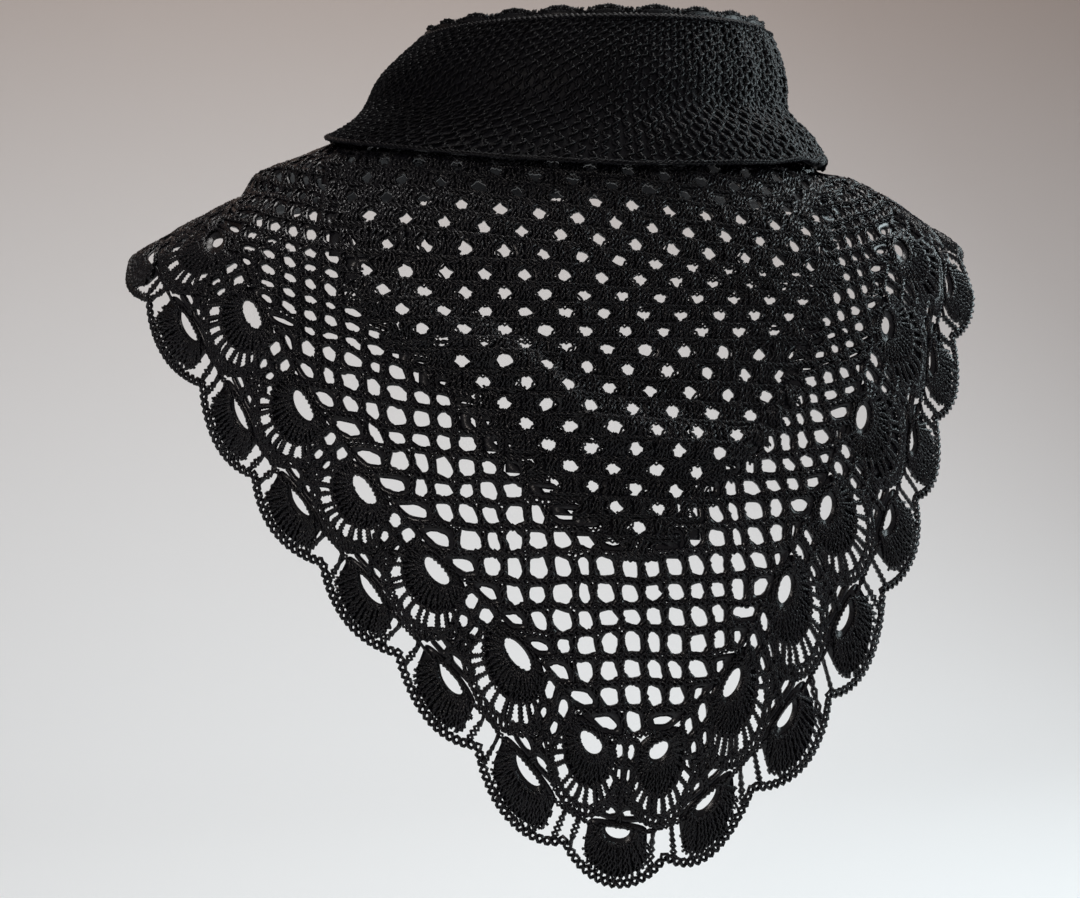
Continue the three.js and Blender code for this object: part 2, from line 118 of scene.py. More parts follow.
class Strands:
    """Collects the yarns of one piece as joined tubes, and makes them one mesh."""

    SIDES = 3

    def __init__(self):
        self.points, self.faces, self.uvs, self.count = [], [], [], 0

    def lay(self, path, normal, width, depth, radius, pitch, plies, run=None, braid=False):
        """Lays plies along each path. Arrays are (strands, samples, 3). width and depth are how far
        the plies swing to the side and outwards; run is the length that sets their phase, and braid
        crosses them twice in a pitch."""
        samples, sides = path.shape[1], self.SIDES
        step = np.linalg.norm(np.diff(path, axis=1), axis=-1)
        length = np.concatenate([np.zeros((len(path), 1)), np.cumsum(step, 1)], 1)
        run = length if run is None else run
        along = unit(np.gradient(path, axis=1))
        side = unit(np.cross(along, normal))
        out = np.cross(side, along)
        width, depth, radius = (np.broadcast_to(np.asarray(x, float), run.shape) for x in (width, depth, radius))
        for k in range(plies):
            turn = 2 * np.pi * (run / pitch + k / plies)
            swing = np.sin(2 * turn) if braid else np.cos(turn)
            line = path + side * (width * np.sin(turn))[..., None] + out * (depth * swing)[..., None]
            tangent = unit(np.gradient(line, axis=1))
            u = unit(np.cross(tangent, out))
            v = np.cross(tangent, u)
            angle = 2 * np.pi * (np.arange(sides) + 0.5) / sides
            ring = u[:, :, None] * np.cos(angle)[:, None] + v[:, :, None] * np.sin(angle)[:, None]
            self.points.append((line[:, :, None] + ring * radius[..., None, None]).reshape(-1, 3))
            first = self.count + np.arange(len(path))[:, None, None] * samples * sides
            ring = first + np.arange(samples - 1)[None, :, None] * sides
            j = np.arange(sides)[None, None, :]
            next_j = (j + 1) % sides
            quads = np.stack([ring + j, ring + next_j, ring + sides + next_j, ring + sides + j], -1)
            start = (first + j)[:, 0, ::-1]
            end = (first + (samples - 1) * sides + j)[:, 0]
            self.faces += [quads.reshape(-1, 4), start, end]
            u0 = np.broadcast_to(length[:, :-1, None], quads.shape[:3]) / 10
            u1 = np.broadcast_to(length[:, 1:, None], quads.shape[:3]) / 10
            v0 = np.broadcast_to(j / sides, quads.shape[:3])
            v1 = v0 + 1 / sides
            uv = np.stack([np.stack(corner, -1) for corner in ((u0, v0), (u0, v1), (u1, v1), (u1, v0))], -2)
            self.uvs += [uv.reshape(-1, 2), np.zeros((len(path) * 2 * sides, 2))]
            self.count += len(path) * samples * sides

    def wall(self, outer, inner, closed):
        """Adds a thin closed wall under the stitches, from two grids of points (rows, columns, 3)."""
        rows, columns = outer.shape[:2]
        index = self.count + np.arange(rows * columns).reshape(rows, columns)
        if closed:
            index = np.concatenate([index, index[:, :1]], 1)
        other = index + rows * columns

        def quad(a, b, c, d):
            return np.stack([a, b, c, d], -1).reshape(-1, 4)

        faces = [
            quad(index[:-1, :-1], index[:-1, 1:], index[1:, 1:], index[1:, :-1]),
            quad(other[:-1, :-1], other[1:, :-1], other[1:, 1:], other[:-1, 1:]),
            quad(index[0, 1:], index[0, :-1], other[0, :-1], other[0, 1:]),
            quad(index[-1, :-1], index[-1, 1:], other[-1, 1:], other[-1, :-1]),
        ]
        if not closed:
            faces += [
                quad(index[:-1, 0], index[1:, 0], other[1:, 0], other[:-1, 0]),
                quad(index[1:, -1], index[:-1, -1], other[:-1, -1], other[1:, -1]),
            ]
        self.points += [outer.reshape(-1, 3), inner.reshape(-1, 3)]
        self.faces += faces
        self.uvs.append(np.zeros((sum(len(f) for f in faces) * 4, 2)))
        self.count += 2 * rows * columns

    def piece(self, name, material, slot, node=None):
        """Makes the mesh and fixes it in the frame, in place of the solid called node where one is given."""
        faces = [face for part in self.faces for face in part.tolist()]
        mesh = bpy.data.meshes.new(name)
        mesh.from_pydata((np.concatenate(self.points) / 1000).tolist(), [], faces)
        layer = mesh.uv_layers.new(name="yarn")
        layer.data.foreach_set("uv", np.concatenate(self.uvs).ravel())
        mesh.polygons.foreach_set("use_smooth", np.ones(len(faces), bool))
        mesh.materials.append(material)
        mesh.update()
        obj = bpy.data.objects.new(name, mesh)
        bpy.context.scene.collection.objects.link(obj)
        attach(obj, "root")
        if node:
            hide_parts(node)
        return obj


def cotton_group():
    """Mercerised cotton yarn: the twist of its plies, worn fibres, and slow changes of the dye."""
    group = bpy.data.node_groups.new("cotton_yarn", "ShaderNodeTree")
    sockets = [
        ("INPUT", "Color", ("Dye", "Bloom")), ("INPUT", "Float", ("Patch size", "Gloss")),
        ("OUTPUT", "Color", ("Colour",)), ("OUTPUT", "Float", ("Roughness", "Height")),
    ]
    for way, kind, names in sockets:
        for name in names:
            group.interface.new_socket(name, in_out=way, socket_type="NodeSocket" + kind)
    nodes, links = group.nodes, group.links
    into, out = nodes.new("NodeGroupInput"), nodes.new("NodeGroupOutput")

    def math_node(operation, a, b=None):
        node = nodes.new("ShaderNodeMath")
        node.operation = operation
        for socket, value in zip(node.inputs, (a, b)):
            if value is None:
                continue
            if isinstance(value, (int, float)):
                socket.default_value = value
            else:
                links.new(value, socket)
        return node.outputs[0]

    def times(a, b):
        return math_node("MULTIPLY", a, b)

    def plus(a, b):
        return math_node("ADD", a, b)

    def noise(scale, detail):
        node = nodes.new("ShaderNodeTexNoise")
        node.inputs["Scale"].default_value = scale
        node.inputs["Detail"].default_value = detail
        links.new(place.outputs["Object"], node.inputs["Vector"])
        return node

    place = nodes.new("ShaderNodeTexCoord")
    chart = nodes.new("ShaderNodeUVMap")
    chart.uv_map = "yarn"
    split = nodes.new("ShaderNodeSeparateXYZ")
    links.new(chart.outputs["UV"], split.inputs[0])
    lay = plus(times(split.outputs[0], 9.0), times(split.outputs[1], 3.0))
    twist = plus(times(math_node("SINE", times(lay, 2 * math.pi)), 0.5), 0.5)
    patches = noise(40, 2)
    links.new(into.outputs["Patch size"], patches.inputs["Scale"])
    fibres = noise(1500, 3)
    share = plus(times(patches.outputs[0], 0.75), times(times(twist, fibres.outputs[0]), 0.7))
    worn_share = nodes.new("ShaderNodeMapRange")
    worn_share.inputs["From Min"].default_value = 0.3
    worn_share.inputs["From Max"].default_value = 0.85
    links.new(share, worn_share.inputs["Value"])
    mix = nodes.new("ShaderNodeMix")
    mix.data_type = "RGBA"
    links.new(worn_share.outputs[0], mix.inputs["Factor"])
    links.new(into.outputs["Dye"], mix.inputs["A"])
    links.new(into.outputs["Bloom"], mix.inputs["B"])
    links.new(mix.outputs["Result"], out.inputs["Colour"])
    rough = plus(into.outputs["Gloss"], times(fibres.outputs[0], 0.3))
    links.new(math_node("SUBTRACT", rough, times(twist, 0.1)), out.inputs["Roughness"])
    links.new(plus(times(twist, 0.6), times(fibres.outputs[0], 0.6)), out.inputs["Height"])
    return group


cotton = cotton_group()


def cotton_material(name, dye, bloom, patch, gloss, sheen, shine=0.3):
    """Black cotton. bloom is the dye's colour where it is worn, in patches of patch to the metre."""
    material = bpy.data.materials.new(name)
    material.use_nodes = True
    nodes, links = material.node_tree.nodes, material.node_tree.links
    shader = nodes["Principled BSDF"]
    yarn = nodes.new("ShaderNodeGroup")
    yarn.node_tree = cotton
    yarn.inputs["Dye"].default_value = (*dye, 1)
    yarn.inputs["Bloom"].default_value = (*bloom, 1)
    yarn.inputs["Patch size"].default_value = patch
    yarn.inputs["Gloss"].default_value = gloss
    bump = nodes.new("ShaderNodeBump")
    bump.inputs["Strength"].default_value = 0.8
    bump.inputs["Distance"].default_value = 0.0002
    links.new(yarn.outputs["Colour"], shader.inputs["Base Color"])
    links.new(yarn.outputs["Roughness"], shader.inputs["Roughness"])
    links.new(yarn.outputs["Height"], bump.inputs["Height"])
    links.new(bump.outputs["Normal"], shader.inputs["Normal"])
    shader.inputs["Specular IOR Level"].default_value = shine
    shader.inputs["Sheen Weight"].default_value = sheen
    shader.inputs["Sheen Roughness"].default_value = 0.45
    shader.inputs["Sheen Tint"].default_value = (0.62, 0.66, 0.72, 1)
    return material


def spread(a, b, samples):
    """Straight runs from each a to each b, as (strands, samples)."""
    u = np.linspace(0, 1, samples)
    return np.asarray(a, float)[:, None] * (1 - u) + np.asarray(b, float)[:, None] * u


def cluster_level(row, s):
    level = np.interp(row, CLUSTER_ROWS[:, 0], CLUSTER_ROWS[:, 1])
    slope = np.interp(row, CLUSTER_ROWS[:, 0], CLUSTER_ROWS[:, 2])
    return level - slope * (s + 20)


def group_pitch(row):
    return np.interp(row, CLUSTER_ROWS[:, 0], CLUSTER_ROWS[:, 3])


def gap_place(row, number):
    """Arc length of a gap between groups: odd rows stand half a group over."""
    return -21 + (number + 0.5 * (row % 2)) * group_pitch(row)


def inside_triangle(s, z, margin):
    left = np.interp(z, CENTRE_SIDES[:, 0], CENTRE_SIDES[:, 1])
    right = np.interp(z, CENTRE_SIDES[:, 0], CENTRE_SIDES[:, 2])
    return (s > left - margin) & (s < right + margin)


def round_gap(dz):
    """Half the width of a diamond hole, with its yarns, dz above or below its middle."""
    return 3.3 * np.clip(1 - np.abs(dz / 3.5) ** 1.25, 0, 1)


def round_and_square(turn):
    """Points round a circle, and the same rays out to a square round it."""
    circle = np.stack([np.cos(turn), np.sin(turn)], -1)
    return circle, circle / np.abs(circle).max(axis=1, keepdims=True)


def ring_ground(strands, place, hole, rim, lifts=(-0.1, 0.3, 0.4), thick=0.7):
    """Cloth between a hole's outline and a rim, both as loops of two measures for place(). The
    lifts are from the hole's edge to the rim, so that the edge is rounded like yarn."""
    share = np.linspace(1, 0, len(lifts))[:, None] ** 0.8
    a = hole[None, :, 0] * share + rim[None, :, 0] * (1 - share)
    b = hole[None, :, 1] * share + rim[None, :, 1] * (1 - share)
    lift = np.array(lifts)[:, None] + 0 * a
    strands.wall(place(a, b, lift)[::-1], place(a, b, lift - thick)[::-1], True)


def worn(s, z, lift):
    return cloth(s, z, lift)[0]


cluster_cotton = cotton_material("cluster_cotton", BLACK_DYE, (0.006, 0.0058, 0.0085), 45, 0.18, 0.014)
rng = np.random.default_rng(11)
ground = Strands()
turn = np.linspace(0, 2 * math.pi, HOLE_POINTS, endpoint=False)
circle, square = round_and_square(turn)
diamond = circle * np.abs(circle) ** 0.9 * HOLE_HALF
for row in range(-4, 20):
    pitch = group_pitch(row)
    for number in range(-9, 10):
        middle = gap_place(row, number)
        level = cluster_level(row, middle)
        if not inside_triangle(middle, level, 2.5) or level > (-4 if row < -2 else 3):
            continue
        high = cluster_level(row - 1, middle) - level
        low = level - cluster_level(row + 1, middle)
        slope = cluster_level(row, middle + 1) - level
        tall = np.where(circle[:, 1] > 0, high, low) / 2
        rim = square * np.stack([pitch / 2 + 0 * tall, tall], -1)
        ragged = 1 + 0.1 * np.sin(5 * turn + rng.uniform(0, 2 * math.pi)) + rng.normal(0, 0.05, HOLE_POINTS)
        hole = diamond * rng.uniform(0.8, 1.15) * (0.95 + 0.012 * np.clip(row, 0, 12)) * ragged[:, None]
        for loop in (hole, rim):
            loop[:, 1] += level + slope * loop[:, 0] - 0.3
            loop[:, 0] += middle
        ring_ground(ground, worn, hole, rim)
cluster_ground = ground.piece("cluster_triangle", cluster_cotton, "cluster_yarn", "centre_triangle")

triangle = Strands()
legs, tops = [], []
for row in range(-3, 20):
    for number in range(-8, 9):
        # The group hangs from a hole of the row above and opens downwards between two holes of its own.
        foot_s = gap_place(row - 1, number)
        foot_z = cluster_level(row - 1, foot_s) - 2.8
        head_z = cluster_level(row, foot_s) - 3.2
        if not inside_triangle(foot_s, (foot_z + head_z) / 2, 1.5) or foot_z > (-3 if row < -1 else 2):
            continue
        for share in (-1, -0.55, -0.15, 0.25, 0.6, 1):
            legs.append((foot_s, foot_z, head_z, share, row))
    gaps = gap_place(row, np.arange(-9, 10))
    for a, b in zip(gaps[:-1], gaps[1:]):
        level = cluster_level(row, (a + b) / 2)
        if inside_triangle((a + b) / 2, level - 2.2, 1.5) and (row > -2 or level < -3):
            tops.append((a, b, row))
legs = np.array(legs)
foot_s, foot_z, head_z, share, row = (legs[:, i : i + 1] for i in range(5))
u = np.linspace(0, 1, 7)
z = foot_z + (head_z + rng.normal(0, 0.4, foot_z.shape) - foot_z) * u
own_gap = round_gap(z - cluster_level(row, foot_s + share * group_pitch(row) / 2))
reach = np.minimum(2.0 + 1.5 * (foot_z - z), group_pitch(row) / 2 - 0.4 - own_gap)
s = foot_s + (share + rng.normal(0, 0.06, share.shape)) * reach
bulge = 0.8 * np.sin(np.pi * u) * (1 - 0.4 * np.abs(share)) + 0.4
path, normal = cloth(s, z, bulge + rng.normal(0, 0.2, share.shape))
run = spread(rng.uniform(0, 4, len(legs)), rng.uniform(7, 11, len(legs)), 7)
triangle.lay(path, normal, 0.6 + 0.2 * np.sin(np.pi * u) + np.zeros_like(s), 0.5, 0.62, 4.2, 2, run=run)
tops = np.array(tops)
u = np.linspace(0, 1, 11)
s = spread(tops[:, 0], tops[:, 1], 11)
for drop, sag, lift in ((3.0, 0.3, 0.9), (4.2, 0.5, 0.5)):
    z = cluster_level(tops[:, 2:3], s) - drop - sag * np.sin(np.pi * u) + rng.normal(0, 0.25, (len(tops), 1))
    path, normal = cloth(s, z, lift + 0 * s)
    triangle.lay(path, normal, 0.75, 0.45, 0.58, 4.4, 2, run=s + 300)
triangle.piece("cluster_stitches", cluster_cotton, "cluster_yarn")


# ---- Net ---------------------------------------------------------------------------------------
# Square net beside and below the triangle: long posts between chains, one cell about 8 mm wide. Each
# row's chain passes through the heads of its posts, and the work pulls it a little out of square.

CELL_WIDTH = 8.3
SEAM_UNDER = 3
FIRST_POST, LAST_POST = -99, 99
# row, level in the middle, how much it rises towards the shoulders
ROWS = np.array([
    (0, -8, 0.14), (3, -50, 0.22), (6, -86.8, 0.38), (8, -96.3, 0.31), (10, -106.9, 0.21),
    (14, -135.5, 0.05), (24, -228, 0),
])
# beside each fan's hole: arc length and level of the border's inner line, and of its outer line
BORDER = np.array([
    (-186, -20, -214, -37), (-161, -42, -191, -57), (-144, -68.5, -166.5, -86.5),
    (-125.5, -102, -147, -120), (-104, -132, -122.5, -151), (-78.5, -160.5, -94.5, -182),
    (-50, -190, -64.5, -215.5), (-24, -222, -32, -252), (1, -226, 3.5, -259), (29.5, -203, 37, -236),
    (53, -170.5, 70, -205), (73, -141.5, 97, -169), (91, -108, 117, -131), (106, -73, 132.5, -94),
    (119, -43, 146, -61), (141, -23, 161, -37), (166, -14, 192, -28),
])
# fan, and how far along the border the scallops there hang away from the fans they are worked on
DRIFT = np.array([
    (0, 0), (1.5, 0.15), (5.5, 0.14), (6.5, 0), (11.5, 0), (12.5, -0.24), (13.5, -0.4), (14.5, -0.42), (16, 0),
])
TIP = 7.5
LAST_FAN = 16
INNER_LINE, OUTER_LINE = 6, 32
FAR_OUT = 260.0
LEFT_ROWS = [0, 0.6, 1.2, 1.75, 2.3, 2.9, 3.6, 4.3, 5, 5.7, 6.4, 7.2, *range(8, 17)]
RIGHT_ROWS = [0, 0.3, 0.6, 0.95, 1.3, 1.7, 2.1, 2.5, 3.1, 3.75, 4.4, 5.05, 5.7, 6.4, 7.2, *range(8, 17)]
LOWER_ROWS = list(range(16, 24))


def ridge(z, side):
    return (half_width(z, side) + level_column(z, 3)) * math.pi / 4


def row_level(row, s):
    away = np.abs(s) - 60
    reach = (away + np.hypot(away, 30)) / 2
    return np.interp(row, ROWS[:, 0], ROWS[:, 1]) + np.interp(row, ROWS[:, 0], ROWS[:, 2]) * reach


def smooth_run(v, f):
    """The place at share f between the middle two of four points, on a smooth curve through them."""
    b = v[2] - v[0]
    c = 2 * v[0] - 5 * v[1] + 4 * v[2] - v[3]
    d = 3 * v[1] - v[0] - 3 * v[2] + v[3]
    return 0.5 * (2 * v[1] + b * f + c * f**2 + d * f**3)


def border_column(column, q):
    i = np.clip(np.floor(q), 0, LAST_FAN - 1).astype(int)
    return smooth_run([BORDER[np.clip(i + k, 0, LAST_FAN), column] for k in (-1, 0, 1, 2)], q - i)


def border_place(q, w):
    """Arc length and level in the border: q counts fans from the left, w goes out from the net."""
    q, w = np.broadcast_arrays(np.asarray(q, float), np.asarray(w, float))
    q = q + np.interp(q, DRIFT[:, 0], DRIFT[:, 1]) * np.clip((w - 22.5) / 6, 0, 1)
    f = (w - INNER_LINE) / (OUTER_LINE - INNER_LINE)
    z = border_column(1, q) + (border_column(3, q) - border_column(1, q)) * f
    s = border_column(0, q) + (border_column(2, q) - border_column(0, q)) * f
    limit = ridge(z, s) - 0.4
    end = np.clip((np.abs(q - LAST_FAN / 2) - LAST_FAN / 2 + 0.4) / 0.4, 0, 1)
    return np.clip(s + (np.sign(s) * limit - s) * end, -limit, limit), z


def net_edge(side):
    q = np.linspace(0, TIP, 91) if side < 0 else np.linspace(LAST_FAN, TIP, 91)
    s, z = border_place(q, 1.0)
    order = np.argsort(z)
    return s[order], z[order]


EDGES = {side: net_edge(side) for side in (-1, 1)}


def row_end(side, inside):
    """How far out from the middle a row of the net is still inside."""
    near, far = 0.0, FAR_OUT
    for _ in range(36):
        mid = (near + far) / 2
        near, far = (mid, far) if inside(mid) else (near, mid)
    return side * near


def outer_end(row, side):
    edge_s, edge_z = EDGES[side]

    def inside(mid):
        z = float(row_level(row, side * mid))
        edge = FAR_OUT if z > edge_z[-1] else side * float(np.interp(z, edge_z, edge_s))
        return mid < min(edge, float(ridge(z, side)) - 0.4)

    return row_end(side, inside)


def inner_end(row, side):
    def inside(mid):
        z = float(row_level(row, side * mid))
        return mid < side * float(np.interp(z, CENTRE_SIDES[:, 0], CENTRE_SIDES[:, 1 if side < 0 else 2]))

    return row_end(side, inside)


def net_cell(ground, place, corners, yarn, rng, lean=0.0, soft=0.75):
    """Cloth round one hole of the net. corners are left top, right top, left bottom, right bottom;
    soft below 1 gives a square hole and above 1 a diamond, and the loops of the yarn make it ragged."""
    left_top, right_top, left_low, right_low = (np.array(corner) for corner in corners)
    wide = (right_top[0] + right_low[0] - left_top[0] - left_low[0]) / 2
    tall = abs((left_top[1] + right_top[1] - left_low[1] - right_low[1]) / 2)
    turn = np.linspace(0, 2 * math.pi, HOLE_POINTS, endpoint=False) + 0.2
    circle, square = round_and_square(turn)
    ragged = 1 + 0.06 * np.sin(5 * turn + rng.uniform(0, 2 * math.pi)) + rng.normal(0, 0.05, HOLE_POINTS)
    kx = max(1 - yarn / wide, 0.08) * rng.uniform(0.93, 1.05)
    ky = max(1 - (yarn - 2 * (soft - 0.75)) / tall, 0.08) * rng.uniform(0.93, 1.05)
    hole = (kx, ky) * np.sign(circle) * np.abs(circle) ** soft * ragged[:, None]
    hole[:, 0] -= lean * hole[:, 1]

    def across(loop):
        x, y = (1 + loop[:, 0:1]) / 2, (1 + loop[:, 1:2]) / 2
        return (left_low * (1 - x) + right_low * x) * (1 - y) + (left_top * (1 - x) + right_top * x) * y

    ring_ground(ground, place, across(hole), across(square), (-0.3, 0.35, 0.5), 1.0)


def net_strands(rows, ends_of, seam, top_cell, seed):
    """The cloth of the net, and the chains and posts on it, for rows with the given two ends. The
    cells at the post called seam are worked close, against the triangle, and top_cell is how wide
    the cells of the upper rows are. Posts are numbered from the middle, and the two ends are apart."""
    rng = np.random.default_rng(seed)
    ground, net = Strands(), Strands()
    chains, posts = [], []
    above = {}
    for row in rows:
        start, stop = ends_of(row)
        here = {FIRST_POST: (start, float(row_level(row, start)))}
        for c in range(-28, 29):
            s = (c + 0.5) * np.interp(row, (3, 14), (top_cell, CELL_WIDTH))
            if start + 1.9 < s < stop - 1.9:
                s += rng.normal(0, 0.8)
                here[c] = (s, float(row_level(row, s)) + rng.normal(0, 0.7))
        here[LAST_POST] = (stop, float(row_level(row, stop)))
        nodes = list(here.values())
        chains += [(*a, *b) for a, b in zip(nodes[:-1], nodes[1:])]
        shared = [c for c in here if c in above]
        posts += [(*above[c], *here[c]) for c in shared[1:-1]]
        for a, b in zip(shared[:-1], shared[1:]):
            if here[b][0] - here[a][0] > 1.5 and above[b][0] - above[a][0] > 1.5:
                high = np.interp(here[a][1], (-100, -45), (0, 1))
                slant = max(abs(above[end][0] - here[end][0]) for end in (a, b))
                at_end = a == FIRST_POST or b == LAST_POST
                yarn = 2.8 + 0.6 * high + (3.0 if seam in (a, b) else 0.7 + 0.2 * slant if at_end else 0)
                corners = (above[a], above[b], here[a], here[b])
                net_cell(ground, worn, corners, yarn, rng, 0.22, 0.75 + 0.4 * high)
        above = here
    chains, posts = np.array(chains), np.array(posts)
    u = np.linspace(0, 1, 8)
    s = spread(chains[:, 0], chains[:, 2], 8)
    path, normal = cloth(s, spread(chains[:, 1], chains[:, 3], 8), 0.75)
    net.lay(path, normal, 1.05, 0.4, 0.66, 4.4, 2, run=s + 300)
    s = spread(posts[:, 0] - 0.5, posts[:, 2] + 0.5, 8)
    path, normal = cloth(s, spread(posts[:, 1], posts[:, 3], 8), 0.7)
    flare = 0.9 + 0.4 * np.abs(2 * u - 1) ** 3
    run = spread(rng.uniform(0, 5, len(posts)), rng.uniform(9, 13, len(posts)), 8)
    net.lay(path, normal, flare + np.zeros_like(s), 0.4, 0.62, 4.6, 2, run=run)
    # The loop at the head of each post, through which the next chain runs.
    heads = posts[:, 2:4] + rng.normal(0, 0.2, (len(posts), 2))
    turn = np.linspace(0.2, 2 * math.pi - 0.2, 8)
    path, normal = cloth(heads[:, 0:1] + 1.2 * np.cos(turn), heads[:, 1:2] + 0.4 + 1.0 * np.sin(turn), 1.1)
    net.lay(path, normal, 0.1, 0.1, 0.6, 4.0, 1, braid=True)
    return ground, net


net_cotton = cotton_material("net_cotton", BLACK_DYE, (0.007, 0.0062, 0.009), 45, 0.12, 0.014)
# piece, solid, rows, ends of a row, post at the triangle, upper cells' width, seed, flat size, area
NET_PIECES = [
    (
        "net_beside_left", "net_left", LEFT_ROWS, lambda row: (outer_end(row, -1), inner_end(row, -1) + SEAM_UNDER),
        LAST_POST, 8.0, 3, (0.175, 0.175), 0.0105,
    ), (
        "net_beside_right", "net_right", RIGHT_ROWS, lambda row: (inner_end(row, 1) - SEAM_UNDER, outer_end(row, 1)),
        FIRST_POST, 6.6, 4, (0.15, 0.17), 0.0085,
    ), (
        "net_to_point", "net_lower", LOWER_ROWS, lambda row: (outer_end(row, -1), outer_end(row, 1)),
        None, CELL_WIDTH, 5, (0.135, 0.07), 0.0048,
    ),
]
for name, node, rows, ends_of, seam, top_cell, seed, flat, area in NET_PIECES:
    ground, net = net_strands(rows, ends_of, seam, top_cell, seed)
    ground = ground.piece(name, net_cotton, "net_yarn", node)
    net.piece(name + "_yarn", net_cotton, "net_yarn")


# ---- Fan row -----------------------------------------------------------------------------------
# Inner row of the border: at each repeat a dense half ring of long stitches round an oval hole, then
# thin posts that spread from it to an arc of chain. It is worked on to the slanting edge of the net.

FAN_WIDTH = 37
FAN_CENTRE = 5.2
HOLE_CENTRE = 5.0
FAN_RIM = 12.8
# fan, how large its hole is: small on the left shoulder and where the cloth is bunched on the right
FAN_HOLES = np.array([(1, 0.4), (2, 0.95), (6, 0.88), (9, 0.75), (12, 0.7), (13, 0.5)])
# reach of each arc of chain, half its spread in degrees, how far it is drawn together
ARCS = [(FAN_RIM, 96, 1.0), (18.8, 64, 0.94), (21.4, 60, 0.92)]
border_cotton = cotton_material("border_cotton", (0.0016, 0.0015, 0.0027), (0.007, 0.0065, 0.0095), 60, 0.14, 0.016)


def border_strands(strands, q, w, lift, **yarn):
    s, z = border_place(q, w)
    path, normal = cloth(s, z, lift)
    strands.lay(path, normal, **yarn)


def ray(reach, angle, squeeze=1.0):
    """Millimetres beside and beyond a fan's hole, at the end of a ray from it."""
    return reach * math.sin(angle) * squeeze, reach * math.cos(angle)


def in_border(group, column):
    """The stitches whose place across, in the given column, lies between the border's two ends."""
    q = group[:, 0] + group[:, column] / FAN_WIDTH
    return group[(q > 0) & (q < LAST_FAN)]


def fan_runs(group, samples, centre):
    """Stitches given as fan, start and end beside its hole, in the border's own two measures."""
    across, out = spread(group[:, 1], group[:, 3], samples), spread(group[:, 2], group[:, 4], samples)
    return group[:, 0:1] + across / FAN_WIDTH, centre + out


def border_cloth(q, w, lift):
    return cloth(*border_place(q, w), lift)[0]


def half_round(turn, across, far, near, centre):
    """A loop round a hole of the border: its far side bulges outwards, its near side is flatter."""
    return np.stack([across * np.sin(turn), centre + np.where(np.cos(turn) > 0, far, near) * np.cos(turn)], -1)


def fan_ground(strands, k, hole, rim, closed=True):
    """Thin cloth round one hole of the border: loops of millimetres beside the hole and levels w."""
    share = np.linspace(1, 0, 3)[:, None]
    across = hole[None, :, 0] * (1 - share) + rim[None, :, 0] * share
    level = hole[None, :, 1] * (1 - share) + rim[None, :, 1] * share
    strands.wall(*(border_cloth(k + across / FAN_WIDTH, level, lift) for lift in (0.1, -0.6)), closed)


fans = Strands()
rng = np.random.default_rng(21)
for k in range(0, LAST_FAN + 1):
    first, last = (0, math.pi) if k == 0 else (math.pi, 2 * math.pi) if k == LAST_FAN else (0, 2 * math.pi)
    whole = 0 < k < LAST_FAN
    ring = np.linspace(first, last, 24 if whole else 13, endpoint=not whole)
    size = rng.uniform(0.92, 1.06) * np.interp(k, FAN_HOLES[:, 0], FAN_HOLES[:, 1])
    hole = half_round(ring, 6.5 * size, rng.uniform(3.1, 3.9) * size, 2.3, HOLE_CENTRE)
    fan_ground(fans, k, hole, half_round(ring, FAN_RIM, FAN_RIM, 5.6, HOLE_CENTRE), whole)
# On the right the cloth is bunched, and the fans' spokes lie close together.
ring = np.radians(np.linspace(-64, 64, 11))
for k in range(12, LAST_FAN):
    near, far = half_round(ring, 12.4, 12.4, 0, HOLE_CENTRE), half_round(ring, 17.4, 18.6, 0, HOLE_CENTRE)
    fan_ground(fans, k, near, far, False)
# Between two fans the net goes on outwards, in cells that get wider to the scallops.
BRIDGE = [
    [(-7, 0.4), (0, 0.4), (-7.2, 7.6), (0, 7.8)], [(0, 0.4), (7, 0.4), (0, 7.8), (7.2, 7.6)],
    [(-5.2, 7.6), (0.4, 7.8), (-4.8, 14.2), (0.2, 14.4)], [(0.4, 7.8), (5.2, 7.6), (0.2, 14.4), (4.8, 14.2)],
    [(-4.8, 14.2), (0, 14.4), (-5.4, 19.6), (0, 19.8)], [(0, 14.4), (4.8, 14.2), (0, 19.8), (5.4, 19.6)],
    [(-8.5, 19.6), (0, 19.8), (-9.5, 24.4), (0, 24.8)], [(0, 19.8), (8.5, 19.6), (0, 24.8), (9.5, 24.4)],
]
sides = []
for k in range(LAST_FAN):
    for cell in BRIDGE:
        corners = [(k + 0.5 + (across + rng.normal(0, 0.4)) / FAN_WIDTH, -w) for across, w in cell]
        in_mm = [((q - k) * FAN_WIDTH, w) for q, w in corners]
        net_cell(fans, lambda a, b, lift, k=k: border_cloth(k + a / FAN_WIDTH, -b, lift), in_mm, 3.0, rng)
        sides += [(corners[0], corners[1]), (corners[0], corners[2]), (corners[1], corners[3])]
fan_ground_piece = fans.piece("fan_border", border_cotton, "border_yarn", "fan_row")

fans = Strands()
sides = np.array(sides)
q, w = spread(sides[:, 0, 0], sides[:, 1, 0], 7), -spread(sides[:, 0, 1], sides[:, 1, 1], 7)
border_strands(fans, q, w, 0.8, width=0.6, depth=0.35, radius=0.62, pitch=4.4, plies=2)
dense, spokes = [], []
for k in range(0, LAST_FAN + 1):
    for angle in np.radians(np.linspace(-106, 106, 21)):
        across, out = ray(FAN_RIM, angle)
        dense.append((k, 6.2 * math.sin(angle), max(3.0 * math.cos(angle), -1.5), across, max(out, 0.8 - FAN_CENTRE)))
    for angle in np.radians(np.linspace(-64, 64, 11) + rng.normal(0, 1.6, 11)):
        spokes.append((k, *ray(12.0, angle), *ray(18.8, angle, 0.94)))
dense, spokes = np.array(dense), np.array(spokes)
dense[:, 1:] += rng.normal(0, 0.2, dense[:, 1:].shape)
spokes[:, 1:] += rng.normal(0, 0.35, spokes[:, 1:].shape)
u = np.linspace(0, 1, 7)
